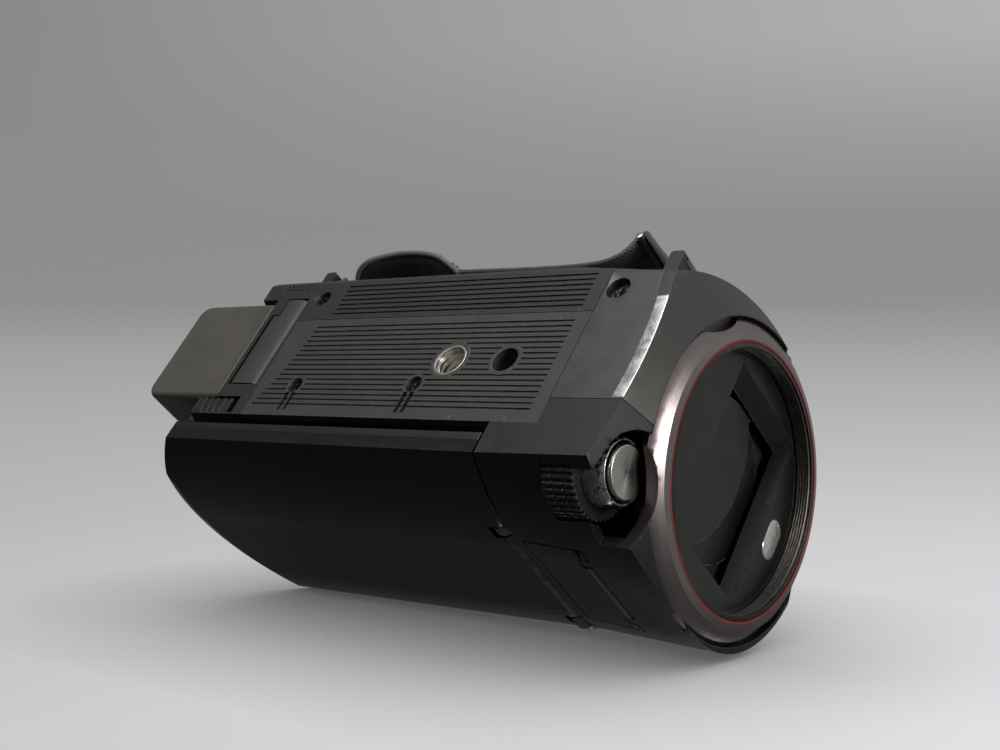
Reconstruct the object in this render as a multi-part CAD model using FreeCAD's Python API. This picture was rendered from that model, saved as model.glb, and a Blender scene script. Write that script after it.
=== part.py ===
import FreeCAD, Part
import math
import os

os.makedirs("parts", exist_ok=True)
V = FreeCAD.Vector

# Axes: +Z up, lens looks along -Y, screen side +X, hand strap side -X.
# Origin: centre of the tripod socket at its mouth on the bottom plane.

# Overall sizes, mm
WALL = 1.8            # moulded shell wall
GAP = 0.35            # clearance round every moving piece
SEAM = 0.15           # visible joint line between fixed mouldings
BODY_TOP = 68.0       # top of the body over the base
SIDE_X = 26.0         # outer face of the closed screen panel
GRIP_X = -33.0        # outer face of the grip side
BASE_X0 = -22.0       # base flat, grip side edge
BASE_X1 = 21.0        # base flat, screen side edge
SHOULDER_R = 25.0     # rounding from the sides to the top
REAR_Y = 68.0         # rear face of the body
SHELL_Y = -28.0       # joint between front bezel and main shells
FRONT_Y = -46.0       # front face of the bezel under the ring
PANEL_Y = -17.0       # front edge of the screen panel

# Lens group
LENS_X = -1.0
LENS_Z = 36.0
RING_R = 30.0         # coloured front ring, outside
RING_BACK_Y = -44.2
RING_FRONT_Y = -47.6
FLANGE_R = 24.9       # rear spigot of the filter ring
PANEL_DISC_Y = -44.2  # face of the dark panel inside the ring
RED_R = 25.7          # red line radius
THREAD_R = 24.5       # filter thread radius
SCALLOP_R = 20.0      # finger scallops in the ring's rim
SCALLOP_DEPTH = 1.9
CONE_SLOPE = 2.6      # radius gained per mm back from the ring
NOSE_SLOPE = 1.25     # the same over the strap shoulder
WINDOW_W = 32.0       # window in the lens front panel
WINDOW_Z0 = 25.5
WINDOW_Z1 = 49.5
BARREL_R = 13.6       # bore of the front lens group
BARREL_REAR_R = 10.8  # bore of the rear lens group
BLADE_R = 16.0
BLADE_T = 0.7

# Base
TRIPOD_R = 3.175      # quarter inch tripod thread
PIN_R = 2.75          # anti-twist pin hole
PIN_Y = -13.5
COVER_X0 = -11.3      # joint between bottom cover and grip shell
COVER_Y1 = 50.0
RIB_PITCH = 1.28
RIB_W = 0.5
RIB_DEPTH = 0.3
RIB_LAND = 0.9
RIB_Y0 = -25.0
SCREWS = ((-16.7, -31.2), (-17.5, 46.3), (6.4, 38.6), (5.9, 5.9))
SCREW_HEAD_R = 1.55

# Screen panel
RECESS_X = 14.2       # body wall behind the closed panel
PANEL_X = 16.6        # inner face of the closed panel
HINGE_R = 2.4
PIVOT_R = 1.2
SCREEN_Y0 = -4.0
SCREEN_Y1 = 62.4
SCREEN_Z0 = 11.0
SCREEN_Z1 = 48.4

# Function dial
DIAL_X = 17.0
DIAL_Z = 9.4
DIAL_R = 8.7
DIAL_Y0 = -38.0
DIAL_Y1 = -31.4
DIAL_TEETH = 44
COLLAR_R = 6.2
COLLAR_GAP = 1.0
BUTTON_R = 4.9

# Battery, card door, strap
BAT_X0 = -17.4
BAT_X1 = 9.2
BAT_Y0 = 61.4
BAT_Y1 = 87.0
BAT_Z0 = 0.5
BAT_H = 43.0
DOOR_X0 = -17.8
DOOR_X1 = 6.3
DOOR_Y0 = 51.0
DOOR_Y1 = 60.0
DOOR_T = 1.3
STRAP_Z0 = 9.5
STRAP_Z1 = 41.5
STRAP_T = 3.2
STRAP_OUT = 5.4       # how far the pad stands off the grip side
STRAP_END = 0.8       # gap under the ends of the pad
WEB_T = 1.1           # webbing thickness


def box(x0, y0, z0, x1, y1, z1):
    return Part.makeBox(x1 - x0, y1 - y0, z1 - z0, V(x0, y0, z0))


def cyl_y(x, z, r, y0, y1):
    return Part.makeCylinder(r, y1 - y0, V(x, y0, z), V(0, 1, 0))


def cyl_z(x, y, r, z0, z1):
    return Part.makeCylinder(r, z1 - z0, V(x, y, z0), V(0, 0, 1))


def cyl_x(y, z, r, x0, x1):
    return Part.makeCylinder(r, x1 - x0, V(x0, y, z), V(1, 0, 0))


def poly(points, direction):
    wire = Part.makePolygon([V(*p) for p in points] + [V(*points[0])])
    return Part.Face(wire).extrude(V(*direction))


def turned(points, x=LENS_X, z=LENS_Z):
    """Solid turned about an axis along Y; points are (radius, y)."""
    wire = Part.makePolygon([V(x + r, y, z) for r, y in points + [points[0]]])
    return Part.Face(wire).revolve(V(x, 0, z), V(0, 1, 0), 360)


def pill_y(x, z, half_w, half_h, y0, y1):
    """Stadium shape, long side along X, standing along Y."""
    run = half_w - half_h
    bar = box(x - run, y0, z - half_h, x + run, y1, z + half_h)
    return bar.fuse([cyl_y(x - run, z, half_h, y0, y1), cyl_y(x + run, z, half_h, y0, y1)]).removeSplitter()


def rounded(shape, radius, test):
    edges = [e for e in shape.Edges if test(e)]
    if not edges:
        return shape
    return shape.makeFillet(radius, edges)


def along(e, axis):
    if len(e.Vertexes) < 2 or e.Curve.TypeId != "Part::GeomLine":
        return False
    d = e.Vertexes[1].Point - e.Vertexes[0].Point
    d.normalize()
    return abs(abs(d.dot(V(*axis))) - 1.0) < 1e-6


def soft_box(x0, y0, z0, x1, y1, z1, radius, axis):
    """Box with its edges along one axis rounded."""
    return rounded(box(x0, y0, z0, x1, y1, z1), radius, lambda e: along(e, axis))


parts = {}


# ---- Body outline: one section behind the panel joint, one at the ring ----

def section(y, x0, x1, xl, xr, z_low, z_high, top, low_bulge, top_left, top_right):
    """Closed section wire at y: flat base, curved flanks, round shoulders."""
    zc = z_high
    rr = xr - top_right
    rl = top_left - xl
    c45 = math.sqrt(0.5)
    rz = top - zc
    e = [
        Part.makeLine(V(x0, y, 0), V(x1, y, 0)),
        Part.Arc(V(x1, y, 0), V(low_bulge[0], y, low_bulge[1]), V(xr, y, z_low)).toShape(),
        Part.makeLine(V(xr, y, z_low), V(xr, y, zc)),
        Part.Arc(V(xr, y, zc), V(top_right + rr * c45, y, zc + rz * c45), V(top_right, y, top)).toShape(),
        Part.makeLine(V(top_right, y, top), V(top_left, y, top)),
        Part.Arc(V(top_left, y, top), V(top_left - rl * c45, y, zc + rz * c45), V(xl, y, zc)).toShape(),
        Part.makeLine(V(xl, y, zc), V(xl, y, z_low)),
        Part.Arc(V(xl, y, z_low), V(low_bulge[2], y, low_bulge[3]), V(x0, y, 0)).toShape(),
    ]
    return Part.Wire(e)


def body_section(y, inset=0.0):
    zc = BODY_TOP - SHOULDER_R
    return section(y, BASE_X0 + inset * 0.6, BASE_X1 - inset * 0.8, GRIP_X + inset, SIDE_X - inset, 24.0, zc,
                   BODY_TOP - inset, (24.5 - inset, 9.0, -29.6 + inset, 8.5),
                   GRIP_X + SHOULDER_R, SIDE_X - SHOULDER_R)


def ring_section(y, inset=0.0):
    r = RING_R + 0.2
    return section(y, BASE_X0 + 2.0 + inset * 0.6, BASE_X1 - 0.5 - inset * 0.8, LENS_X - r + inset, LENS_X + r - inset,
                   LENS_Z - 4.0, LENS_Z + 4.0, LENS_Z + r - inset,
                   (25.4 - inset, 10.0, -27.4 + inset, 10.0), LENS_X - 3.0, LENS_X + 3.0)


def body_volume(inset, y_front, y_rear, z_floor):
    """Whole outer volume, or the cavity when inset is a wall thickness."""
    main = Part.Face(body_section(PANEL_Y, inset)).extrude(V(0, y_rear - PANEL_Y, 0))
    nose = Part.makeLoft([body_section(PANEL_Y, inset), ring_section(y_front, inset)], True, True)
    vol = main.fuse(nose).removeSplitter()
    return vol.cut(box(-60, -90, -30, 60, 120, z_floor))


def front_cone(back):
    """Cone that trims the nose so it meets the round ring."""
    y0 = FRONT_Y + back
    length = 20.0
    r0 = RING_R + 0.5
    cone = Part.makeCone(r0, r0 + CONE_SLOPE * length, length, V(LENS_X, y0, LENS_Z), V(0, 1, 0))
    return cone.fuse(cyl_y(LENS_X, LENS_Z, 90.0, y0 + length, 130.0))


def nose_facets(inset):
    """Wedges that bring the nose down to the ring over the strap shoulder."""
    cuts = []
    for turn in (98, 130, 162):
        a = math.radians(turn)
        ux, uz = math.cos(a), math.sin(a)
        r0 = RING_R + 0.3 - inset
        line = [(r0 - 8 * NOSE_SLOPE, -8), (r0 + 12 * NOSE_SLOPE, 12), (80, 12), (80, -8)]
        pts = [(LENS_X + ux * r + uz * 40, RING_BACK_Y - 0.2 + y, LENS_Z + uz * r - ux * 40) for r, y in line]
        cuts.append(poly(pts, (-uz * 80, 0, ux * 80)))
    return cuts


rear_curve = Part.Wire([
    Part.makeLine(V(-70, -80, -5), V(-70, -80, 90)),
    Part.makeLine(V(-70, -80, 90), V(-70, 54, 90)),
    Part.makeLine(V(-70, 54, 90), V(-70, 54, 70)),
    Part.Arc(V(-70, 54, 70), V(-70, REAR_Y - 3.5, 62), V(-70, REAR_Y, 50)).toShape(),
    Part.makeLine(V(-70, REAR_Y, 50), V(-70, REAR_Y, 5)),
    Part.Arc(V(-70, REAR_Y, 5), V(-70, REAR_Y - 1.3, 1.2), V(-70, REAR_Y - 6, -5)).toShape(),
    Part.makeLine(V(-70, REAR_Y - 6, -5), V(-70, -80, -5)),
])
rear_trim = Part.Face(rear_curve).extrude(V(140, 0, 0))

outer = body_volume(0.0, FRONT_Y, REAR_Y, 0.0).common(rear_trim).common(front_cone(0.0)).cut(nose_facets(0.0))
cavity = body_volume(WALL, FRONT_Y, REAR_Y - WALL, WALL).common(front_cone(2.6)).cut(nose_facets(WALL))
cavity = cavity.cut(box(-60, REAR_Y - 16, 56, 60, REAR_Y + 9, 90))
cavity = cavity.cut(box(RECESS_X - WALL, PANEL_Y - 1.0, -1, 60, 90, 90))
outer_main = outer.cut(box(RECESS_X, PANEL_Y - 0.5, -5, 60, 90, 90))
shell = outer_main.cut(cavity)
nose_floor = PANEL_Y - 0.5 - WALL


# ---- Front: bezel, side cover, chrome strip ----

ring_bore = cyl_y(LENS_X, LENS_Z, FLANGE_R, -60, FRONT_Y + 4.4)
ring_seat = cyl_y(LENS_X, LENS_Z, RING_R + 0.25, -60, RING_BACK_Y)
nose = shell.common(box(-60, -60, -1, 60, SHELL_Y, 90)).cut([ring_bore, ring_seat])
side_nose = shell.common(box(RECESS_X, SHELL_Y, -1, 60, PANEL_Y, 90))
SIDE_JOINT_X = 8.8
front_bezel = nose.common(box(-60, -60, -1, SIDE_JOINT_X - SEAM, SHELL_Y - SEAM, 90))
side_cover = nose.common(box(SIDE_JOINT_X, -60, -1, 60, SHELL_Y, 90)).fuse(side_nose).removeSplitter()

STRIP_W = 3.2
strip_zone = front_cone(0.05).cut(front_cone(0.05 + STRIP_W * 0.75))
strip_band = body_volume(0.0, FRONT_Y, REAR_Y, 0.0).cut(body_volume(0.9, FRONT_Y, REAR_Y, 0.9))
strip_band = strip_band.common(box(BASE_X0 - 1.5, -60, -1, SIDE_JOINT_X - 0.5, -20, 2.6))
chrome_strip = strip_band.common(strip_zone).cut(ring_seat)
front_bezel = front_bezel.cut(chrome_strip)
parts["chrome_strip"] = chrome_strip

# Dial chamber in the lower corner of the side cover
chamber = cyl_y(DIAL_X, DIAL_Z, DIAL_R + 0.5, DIAL_Y0 - 0.5, DIAL_Y1 + 0.4).common(box(-60, -60, 0.3, 60, 60, 90))
way_r = COLLAR_R + COLLAR_GAP
collar_way = cyl_y(DIAL_X, DIAL_Z, way_r, -60, DIAL_Y0)
collar_way = collar_way.fuse(box(DIAL_X, -60, DIAL_Z - way_r, 60, DIAL_Y0, DIAL_Z + way_r))
side_cover = side_cover.cut([chamber, collar_way])
front_bezel = front_bezel.cut([chamber, collar_way])

# Socket door in the flank, with a recess and its microphone socket
JDOOR_Y0 = -33.0
JDOOR_Y1 = -19.0
JDOOR_Z0 = 19.0
JDOOR_Z1 = 45.0
JAXIS_X = 26.9
JAXIS_Y = JDOOR_Y0 + 1.5
JPIN_R = 0.5
JLUGS = ((22.0, 23.6), (40.4, 42.0))
jack_hole = box(20, JDOOR_Y0, JDOOR_Z0, 40, JDOOR_Y1, JDOOR_Z1)
flank = shell.common(box(20, -60, -1, 60, PANEL_Y, 90))
jack_door = flank.common(box(20, JDOOR_Y0 + GAP, JDOOR_Z0 + GAP, 40, JDOOR_Y1 - GAP, JDOOR_Z1 - GAP))
jack_lugs = [box(JAXIS_X - 1.0, JDOOR_Y0, z0, JAXIS_X + 1.0, JAXIS_Y + 0.7, z1).common(outer) for z0, z1 in JLUGS]
jack_clear = [box(20, JDOOR_Y0, z0 - GAP, 40, JAXIS_Y + 0.7 + GAP, z1 + GAP) for z0, z1 in JLUGS]
jack_pin = cyl_z(JAXIS_X, JAXIS_Y, JPIN_R, JLUGS[0][0], JLUGS[1][1])
side_cover = side_cover.cut(jack_hole)
for lug in jack_lugs:
    side_cover = side_cover.fuse(lug)
side_cover = side_cover.cut(jack_pin)
jack_knuckle = cyl_z(JAXIS_X, JAXIS_Y, 0.95, JLUGS[0][1] + GAP, JLUGS[1][0] - GAP)
jack_nose = box(JAXIS_X, JDOOR_Y0, 0, 60, JAXIS_Y, 90).cut(cyl_z(JAXIS_X, JAXIS_Y, 1.15, -1, 91))
jack_door = jack_door.fuse(jack_knuckle).cut(cyl_z(JAXIS_X, JAXIS_Y, JPIN_R + 0.05, 0, 90))
jack_door = jack_door.cut([jack_nose] + jack_clear).removeSplitter()
parts["jack_door"] = jack_door
parts["jack_door_pin"] = jack_pin
tray = box(18.6, JDOOR_Y0 - 1, JDOOR_Z0 - 1, 20.0, JDOOR_Y1 + 0.6, JDOOR_Z1 + 1)
mic_socket = soft_box(14.6, -29.5, 27.0, 20.6, -22.5, 34.0, 0.8, (1, 0, 0)).cut(cyl_x(-26, 30.5, 1.8, 15.5, 30))
usb_socket = soft_box(14.6, -28.5, 37.0, 20.6, -23.5, 42.0, 0.6, (1, 0, 0)).cut(cyl_x(-26, 39.5, 1.3, 15.5, 30))
parts["microphone_sockets"] = Part.Compound([mic_socket, usb_socket])
tray = tray.cut([mic_socket, usb_socket]).common(body_volume(WALL, FRONT_Y, REAR_Y, WALL))
parts["socket_tray"] = tray


# ---- Screen panel and its hinge ----

HINGE_X = SIDE_X - HINGE_R
HINGE_Y = PANEL_Y + HINGE_R
EARS = ((16.5, 19.0), (46.5, 50.5))

LID_Y = 80.0             # rearmost point of the bowed end of the lid
LID_Z = 33.0
LID_FACET = 5.5          # width of the facet along that end
LID_DROP = 1.8           # how far the facet falls away

panel_side = Part.Wire([
    Part.makeLine(V(0, PANEL_Y, -5), V(0, PANEL_Y, 80)),
    Part.makeLine(V(0, PANEL_Y, 80), V(0, 60, 80)),
    Part.makeLine(V(0, 60, 80), V(0, 66, 63)),
    Part.Arc(V(0, 66, 63), V(0, 76.6, 50), V(0, LID_Y, LID_Z)).toShape(),
    Part.Arc(V(0, LID_Y, LID_Z), V(0, 77.6, 16), V(0, 68.8, 0)).toShape(),
    Part.makeLine(V(0, 68.8, 0), V(0, 68.0, -5)),
    Part.makeLine(V(0, 68.0, -5), V(0, PANEL_Y, -5)),
])
panel_trim = Part.Face(panel_side).extrude(V(60, 0, 0))
panel_full = Part.Face(body_section(PANEL_Y - 2)).extrude(V(0, 110, 0)).common(panel_trim)
panel_full = panel_full.common(box(PANEL_X, -60, -1, 60, 120, 90))
corner = box(HINGE_X, PANEL_Y - 1, -5, 60, HINGE_Y, 90).cut(cyl_z(HINGE_X, HINGE_Y, HINGE_R, -6, 91))
panel_full = panel_full.cut(corner)
# Facet along the bowed rear edge of the panel
bow_z = 27.0
bow_r = LID_Y - 45.0 + 0.4
steep = LID_FACET / LID_DROP
facet = Part.makeCone(bow_r - LID_FACET + 8 * steep, bow_r - LID_FACET - 4 * steep, 12.0, V(SIDE_X - 8, 45.0, bow_z), V(1, 0, 0))
panel_full = panel_full.cut(box(SIDE_X - 8, 45.0, -10, SIDE_X + 3, 120, 95).cut(facet))
panel_core = Part.Face(body_section(PANEL_Y - 2, WALL)).extrude(V(0, 110, 0))
panel_core = panel_core.common(box(PANEL_X + WALL, HINGE_Y + HINGE_R + 0.8, WALL, 60, 65.5, 58.5))
notches = []
for z0, z1 in EARS:
    notches.append(cyl_z(HINGE_X, HINGE_Y, HINGE_R + 0.6, z0 - GAP, z1 + GAP))
    notches.append(box(PANEL_X - 1, PANEL_Y - 1, z0 - GAP, HINGE_X, HINGE_Y + GAP, z1 + GAP))
pin_way = cyl_z(HINGE_X, HINGE_Y, PIVOT_R + 0.05, 14.0, 54.0)
panel_solid = panel_full.cut(panel_core).cut(notches).cut(pin_way)
split = PANEL_X + WALL
outer_cover = panel_solid.common(box(split, -60, -5, 60, 120, 90))
inner_bezel = panel_solid.common(box(PANEL_X, -60, -5, split, 120, 90))
screen = box(PANEL_X + 0.3, SCREEN_Y0, SCREEN_Z0, split, SCREEN_Y1, SCREEN_Z1)
window = box(PANEL_X - 1, SCREEN_Y0, SCREEN_Z0, split, SCREEN_Y1, SCREEN_Z1)
parts["screen_cover"] = outer_cover
parts["screen_bezel"] = inner_bezel.cut(window)
parts["screen_glass"] = screen
parts["screen_hinge_pin"] = cyl_z(HINGE_X, HINGE_Y, PIVOT_R, 14.4, 53.0)
ARM_X0 = 17.2
ARM_X1 = 21.2
ears = []
for z0, z1 in EARS:
    ear = cyl_z(HINGE_X, HINGE_Y, HINGE_R - 0.1, z0, z1)
    ear = ear.fuse(box(ARM_X0, PANEL_Y + 0.15, z0, HINGE_X, HINGE_Y - 0.1, z1))
    ear = ear.fuse(box(ARM_X0, PANEL_Y - 4.2, z0, ARM_X1, PANEL_Y + 0.15, z1))
    ears.append(ear)
plate = box(15.4, PANEL_Y - 4.2, EARS[0][0], ARM_X1, PANEL_Y - 2.6, EARS[1][1])
hinge_block = ears[0].fuse([ears[1], plate]).cut(parts["screen_hinge_pin"]).removeSplitter()
ear_ways = [box(ARM_X0, PANEL_Y - 2.4, z0, ARM_X1, PANEL_Y + 2, z1) for z0, z1 in EARS]
side_cover = side_cover.cut(ear_ways)
side_cover = side_cover.cut(hinge_block)
parts["socket_tray"] = parts["socket_tray"].cut(hinge_block)
parts["screen_hinge_block"] = hinge_block
parts["front_side_cover"] = side_cover


# ---- Lens ring, red line, filter thread, front panel ----

ring = turned([
    (RED_R + 0.2, RING_BACK_Y), (RING_R, RING_BACK_Y), (RING_R, RING_BACK_Y - 0.9), (RING_R - 0.9, RING_BACK_Y - 1.8),
    (RED_R + 1.5, RING_FRONT_Y + 0.35), (RED_R + 0.2, RING_FRONT_Y),
])
for k in range(4):
    a = math.radians(52 + 90 * k if k % 2 == 0 else 38 + 90 * k)
    d = RING_R - SCALLOP_DEPTH + SCALLOP_R
    ring = ring.cut(cyl_y(LENS_X + d * math.cos(a), LENS_Z + d * math.sin(a), SCALLOP_R, -60, -40))
parts["lens_ring"] = ring
parts["red_line"] = turned([
    (RED_R - 0.2, RING_BACK_Y - 1), (RED_R + 0.2, RING_BACK_Y - 1), (RED_R + 0.2, RING_FRONT_Y - 0.02),
    (RED_R - 0.2, RING_FRONT_Y - 0.02),
])
parts["filter_ring"] = turned([
    (THREAD_R, RING_FRONT_Y - 0.1), (RED_R - 0.2, RING_FRONT_Y + 0.1), (RED_R - 0.2, RING_BACK_Y - 1),
    (RED_R + 0.2, RING_BACK_Y - 1), (RED_R + 0.2, RING_BACK_Y), (FLANGE_R, RING_BACK_Y), (FLANGE_R, -42.0),
    (THREAD_R - 0.6, -42.0), (THREAD_R - 0.6, PANEL_DISC_Y), (THREAD_R, PANEL_DISC_Y),
])
wx0 = LENS_X - WINDOW_W / 2
wx1 = LENS_X + WINDOW_W / 2
mouth = Part.makePolygon([V(wx0 - 3.5, -44.3, WINDOW_Z0), V(wx1 + 1.5, -44.3, WINDOW_Z0), V(wx1 + 1.5, -44.3, WINDOW_Z1),
                          V(wx0 - 3.5, -44.3, WINDOW_Z1), V(wx0 - 3.5, -44.3, WINDOW_Z0)])
throat = Part.makePolygon([V(wx0, -41.4, WINDOW_Z0 + 0.8), V(wx1 - 0.5, -41.4, WINDOW_Z0 + 0.8),
                           V(wx1 - 0.5, -41.4, WINDOW_Z1 - 0.8), V(wx0, -41.4, WINDOW_Z1 - 0.8),
                           V(wx0, -41.4, WINDOW_Z0 + 0.8)])
window_cut = Part.makeLoft([mouth, throat], True, True)
front_panel = cyl_y(LENS_X, LENS_Z, THREAD_R - 0.6, PANEL_DISC_Y, -41.5).cut(window_cut)
lamp_z = LENS_Z + 19.2
lamp = pill_y(LENS_X, lamp_z, 4.3, 2.5, -44.32, -42.6)
parts["lamp_lens"] = rounded(lamp, 0.5, lambda e: e.BoundBox.YMax < -44.27)
# Lip along the top of the window, as two fine steps
lip = box(wx0 - 3.0, -44.33, WINDOW_Z1 + 0.1, wx1 + 1.2, -44.1, WINDOW_Z1 + 0.7)
lip2 = box(wx0 - 2.6, -44.3, WINDOW_Z1 + 1.0, wx1 + 0.8, -44.1, WINDOW_Z1 + 1.5)
parts["lens_front_panel"] = front_panel.fuse([lip, lip2]).cut(lamp).removeSplitter()

# Lens cover blades swing in two planes behind the window
UP_PIVOT = (20.0, 33.0)
LOW_PIVOT = (-22.0, 37.0)
LOW_Y = -41.0
UP_Y = LOW_Y + BLADE_T + 0.35
ARC_R = 21.7
ARC_X = -2.5
ARC_TOP = 43.5


def blade(y, upper):
    disc = cyl_y(LENS_X, LENS_Z, BLADE_R, y, y + BLADE_T)
    if upper:
        bite = cyl_y(ARC_X, ARC_TOP - 1.8 - ARC_R, ARC_R, y - 1, y + 2)
        leaf = disc.cut(bite).cut(box(-60, y - 1, 0, 60, y + 2, LENS_Z))
        px, pz = UP_PIVOT
        arm = poly([(12.5, y, 36.5), (px, y, pz - 1.6), (px, y, pz + 1.8), (13.0, y, 42.5)], (0, BLADE_T, 0))
    else:
        leaf = disc.common(cyl_y(ARC_X, ARC_TOP - ARC_R, ARC_R, y - 1, y + 2))
        leaf = leaf.cut(box(-60, y - 1, 0, 60, y + 2, 24.0))
        px, pz = LOW_PIVOT
        arm = poly([(-14.0, y, 33.0), (px, y, pz - 1.8), (px, y, pz + 1.8), (-14.0, y, 38.5)], (0, BLADE_T, 0))
    eye = cyl_y(px, pz, 2.0, y, y + BLADE_T)
    hole = cyl_y(px, pz, 0.85, y - 1, y + 2)
    return leaf.fuse([arm, eye]).cut(hole).removeSplitter()


parts["lens_cover_lower_blade"] = blade(LOW_Y, False)
parts["lens_cover_upper_blade"] = blade(UP_Y, True)
base_y = UP_Y + BLADE_T + 0.35
pins = [cyl_y(p[0], p[1], 0.8, LOW_Y - 0.3, base_y + 1.0) for p in (UP_PIVOT, LOW_PIVOT)]
parts["blade_pins"] = Part.Compound(pins)
blade_base = cyl_y(LENS_X, LENS_Z, 23.2, base_y, base_y + 1.0).cut(cyl_y(LENS_X, LENS_Z, BARREL_R, base_y - 1, base_y + 2))
parts["lens_cover_base"] = blade_base.cut(pins)
parts["front_bezel"] = front_bezel

# Lens barrel and glass
by = base_y + 1.0
wide = BARREL_R + 1.4
slim = BARREL_REAR_R + 1.4
barrel = turned([(BARREL_R, by), (wide, by), (wide, -22.0), (slim, -22.0), (slim, -6.0), (5.0, -6.0), (5.0, -8.0),
                 (BARREL_REAR_R, -8.0), (BARREL_REAR_R, -23.4), (BARREL_R, -23.4)])
parts["lens_barrel"] = barrel


def lens(r, edge_y0, edge_y1, bulge):
    pts = [V(LENS_X, edge_y0 - bulge, LENS_Z), V(LENS_X + r, edge_y0, LENS_Z)]
    front = Part.Arc(pts[0], V(LENS_X + r * 0.5, edge_y0 - bulge * 0.76, LENS_Z), pts[1]).toShape()
    back = Part.makeLine(V(LENS_X + r, edge_y1, LENS_Z), V(LENS_X, edge_y1, LENS_Z))
    wire = Part.Wire([front, Part.makeLine(pts[1], V(LENS_X + r, edge_y1, LENS_Z)), back,
                      Part.makeLine(V(LENS_X, edge_y1, LENS_Z), pts[0])])
    return Part.Face(wire).revolve(V(LENS_X, 0, LENS_Z), V(0, 1, 0), 360)


parts["front_lens"] = lens(BARREL_R, -34.5, -30.0, 2.6)
parts["zoom_lens"] = lens(BARREL_REAR_R - 0.05, -19.0, -15.5, 1.6)
parts["image_sensor"] = box(LENS_X - 8, -6.0, LENS_Z - 7, LENS_X + 8, -3.0, LENS_Z + 7)


# ---- Function dial, collar, button and hub ----

def star(y0, y1, r, depth, teeth):
    pts = []
    for k in range(teeth):
        for f, rad in ((0.0, r - depth), (0.25, r), (0.6, r), (0.85, r - depth)):
            a = 2 * math.pi * (k + f) / teeth
            pts.append((DIAL_X + rad * math.cos(a), y0, DIAL_Z + rad * math.sin(a)))
    return poly(pts, (0, y1 - y0, 0))


row = (DIAL_Y1 - DIAL_Y0 - 0.6) / 3.0
dial = cyl_y(DIAL_X, DIAL_Z, DIAL_R - 0.7, DIAL_Y0, DIAL_Y1)
dial = dial.fuse([star(DIAL_Y0 + k * (row + 0.3), DIAL_Y0 + k * (row + 0.3) + row, DIAL_R, 0.5, DIAL_TEETH) for k in range(3)])
HUB_R = 3.2
dial = dial.cut(cyl_y(DIAL_X, DIAL_Z, HUB_R + 0.05, -60, -20))
parts["function_dial"] = dial
collar = turned([(BUTTON_R + 0.4, DIAL_Y0), (COLLAR_R, DIAL_Y0), (COLLAR_R, -41.2), (COLLAR_R - 0.5, -42.3),
                 (BUTTON_R + 0.7, -42.5), (BUTTON_R + 0.4, -42.2)], DIAL_X, DIAL_Z)
parts["dial_collar"] = collar
stem_r = 1.5
button = cyl_y(DIAL_X, DIAL_Z, BUTTON_R, -43.2, -41.4).fuse(cyl_y(DIAL_X, DIAL_Z, stem_r, -41.4, -27.0))
button = button.fuse(cyl_y(DIAL_X, DIAL_Z, 2.4, -28.6, -27.0))
parts["function_button"] = rounded(button.removeSplitter(), 0.4, lambda e: e.BoundBox.YMax < -43.1)
hub = cyl_y(DIAL_X, DIAL_Z, HUB_R, -37.6, -30.9).fuse(cyl_y(DIAL_X, DIAL_Z, 6.0, -30.9, -29.7))
hub_way = cyl_y(DIAL_X, DIAL_Z, stem_r + 0.05, -60, -20)
arm = box(8.9, -30.9, WALL, 25, -29.7, 24).common(body_volume(WALL, FRONT_Y, REAR_Y, WALL))
arm = arm.common(box(SIDE_JOINT_X, -60, -1, 60, 0, 90))
hub = hub.fuse(arm).cut(hub_way).removeSplitter()
parts["dial_hub"] = hub.cut(parts["front_side_cover"])
parts["socket_tray"] = parts["socket_tray"].cut([parts["dial_hub"], chamber])
parts["lens_cover_base"] = parts["lens_cover_base"].cut(chamber)


# ---- Main shells, bottom cover, top cover, rear cover ----

main = shell.common(box(-60, SHELL_Y, -1, RECESS_X, 90, 90))
rear_cut_y = REAR_Y - 2.6
cover_zone = box(COVER_X0, SHELL_Y, -1, RECESS_X, COVER_Y1, WALL)
right_zone = box(RECESS_X - WALL, SHELL_Y, WALL, RECESS_X, rear_cut_y, 58)
top_zone = box(-60, SHELL_Y, 58, RECESS_X, rear_cut_y, 90)
rear_zone = box(-60, rear_cut_y, -1, RECESS_X, 90, 90)
bottom = main.common(cover_zone)
right = main.common(right_zone)
top = main.common(top_zone)
rear = main.common(rear_zone)
left = main.common(box(-60, SHELL_Y, -1, RECESS_X, rear_cut_y, 58 - SEAM)).cut([cover_zone, right_zone])
left = left.cut(box(COVER_X0 - SEAM, SHELL_Y, -1, COVER_X0, COVER_Y1, WALL + 1))
left = left.cut(box(COVER_X0, COVER_Y1, -1, RECESS_X, COVER_Y1 + SEAM, WALL + 1))

# Fine ribs on the base, run fore and aft, with a plain land round each hole
lands = [cyl_z(0, 0, 3.6 + RIB_LAND, -2, 2), cyl_z(0, PIN_Y, PIN_R + RIB_LAND, -2, 2)]
lands += [cyl_z(sx, sy, SCREW_HEAD_R + RIB_LAND, -2, 2) for sx, sy in SCREWS]
grooves = []
x = COVER_X0 + 1.9
n = 0
while x < 11.6:
    grooves.append(box(x, RIB_Y0, -1, x + RIB_W, 43.0 + 5.0 * ((x - COVER_X0) / 21.0) ** 2, RIB_DEPTH))
    x += RIB_PITCH
    n += 1
bottom = bottom.cut([g.cut(lands) for g in grooves])
grooves = []
x = -20.8
while x < COVER_X0 - 1.6:
    grooves.append(box(x, RIB_Y0, -1, x + RIB_W, 40.5, RIB_DEPTH))
    x += RIB_PITCH
left = left.cut([g.cut(lands) for g in grooves])

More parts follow.
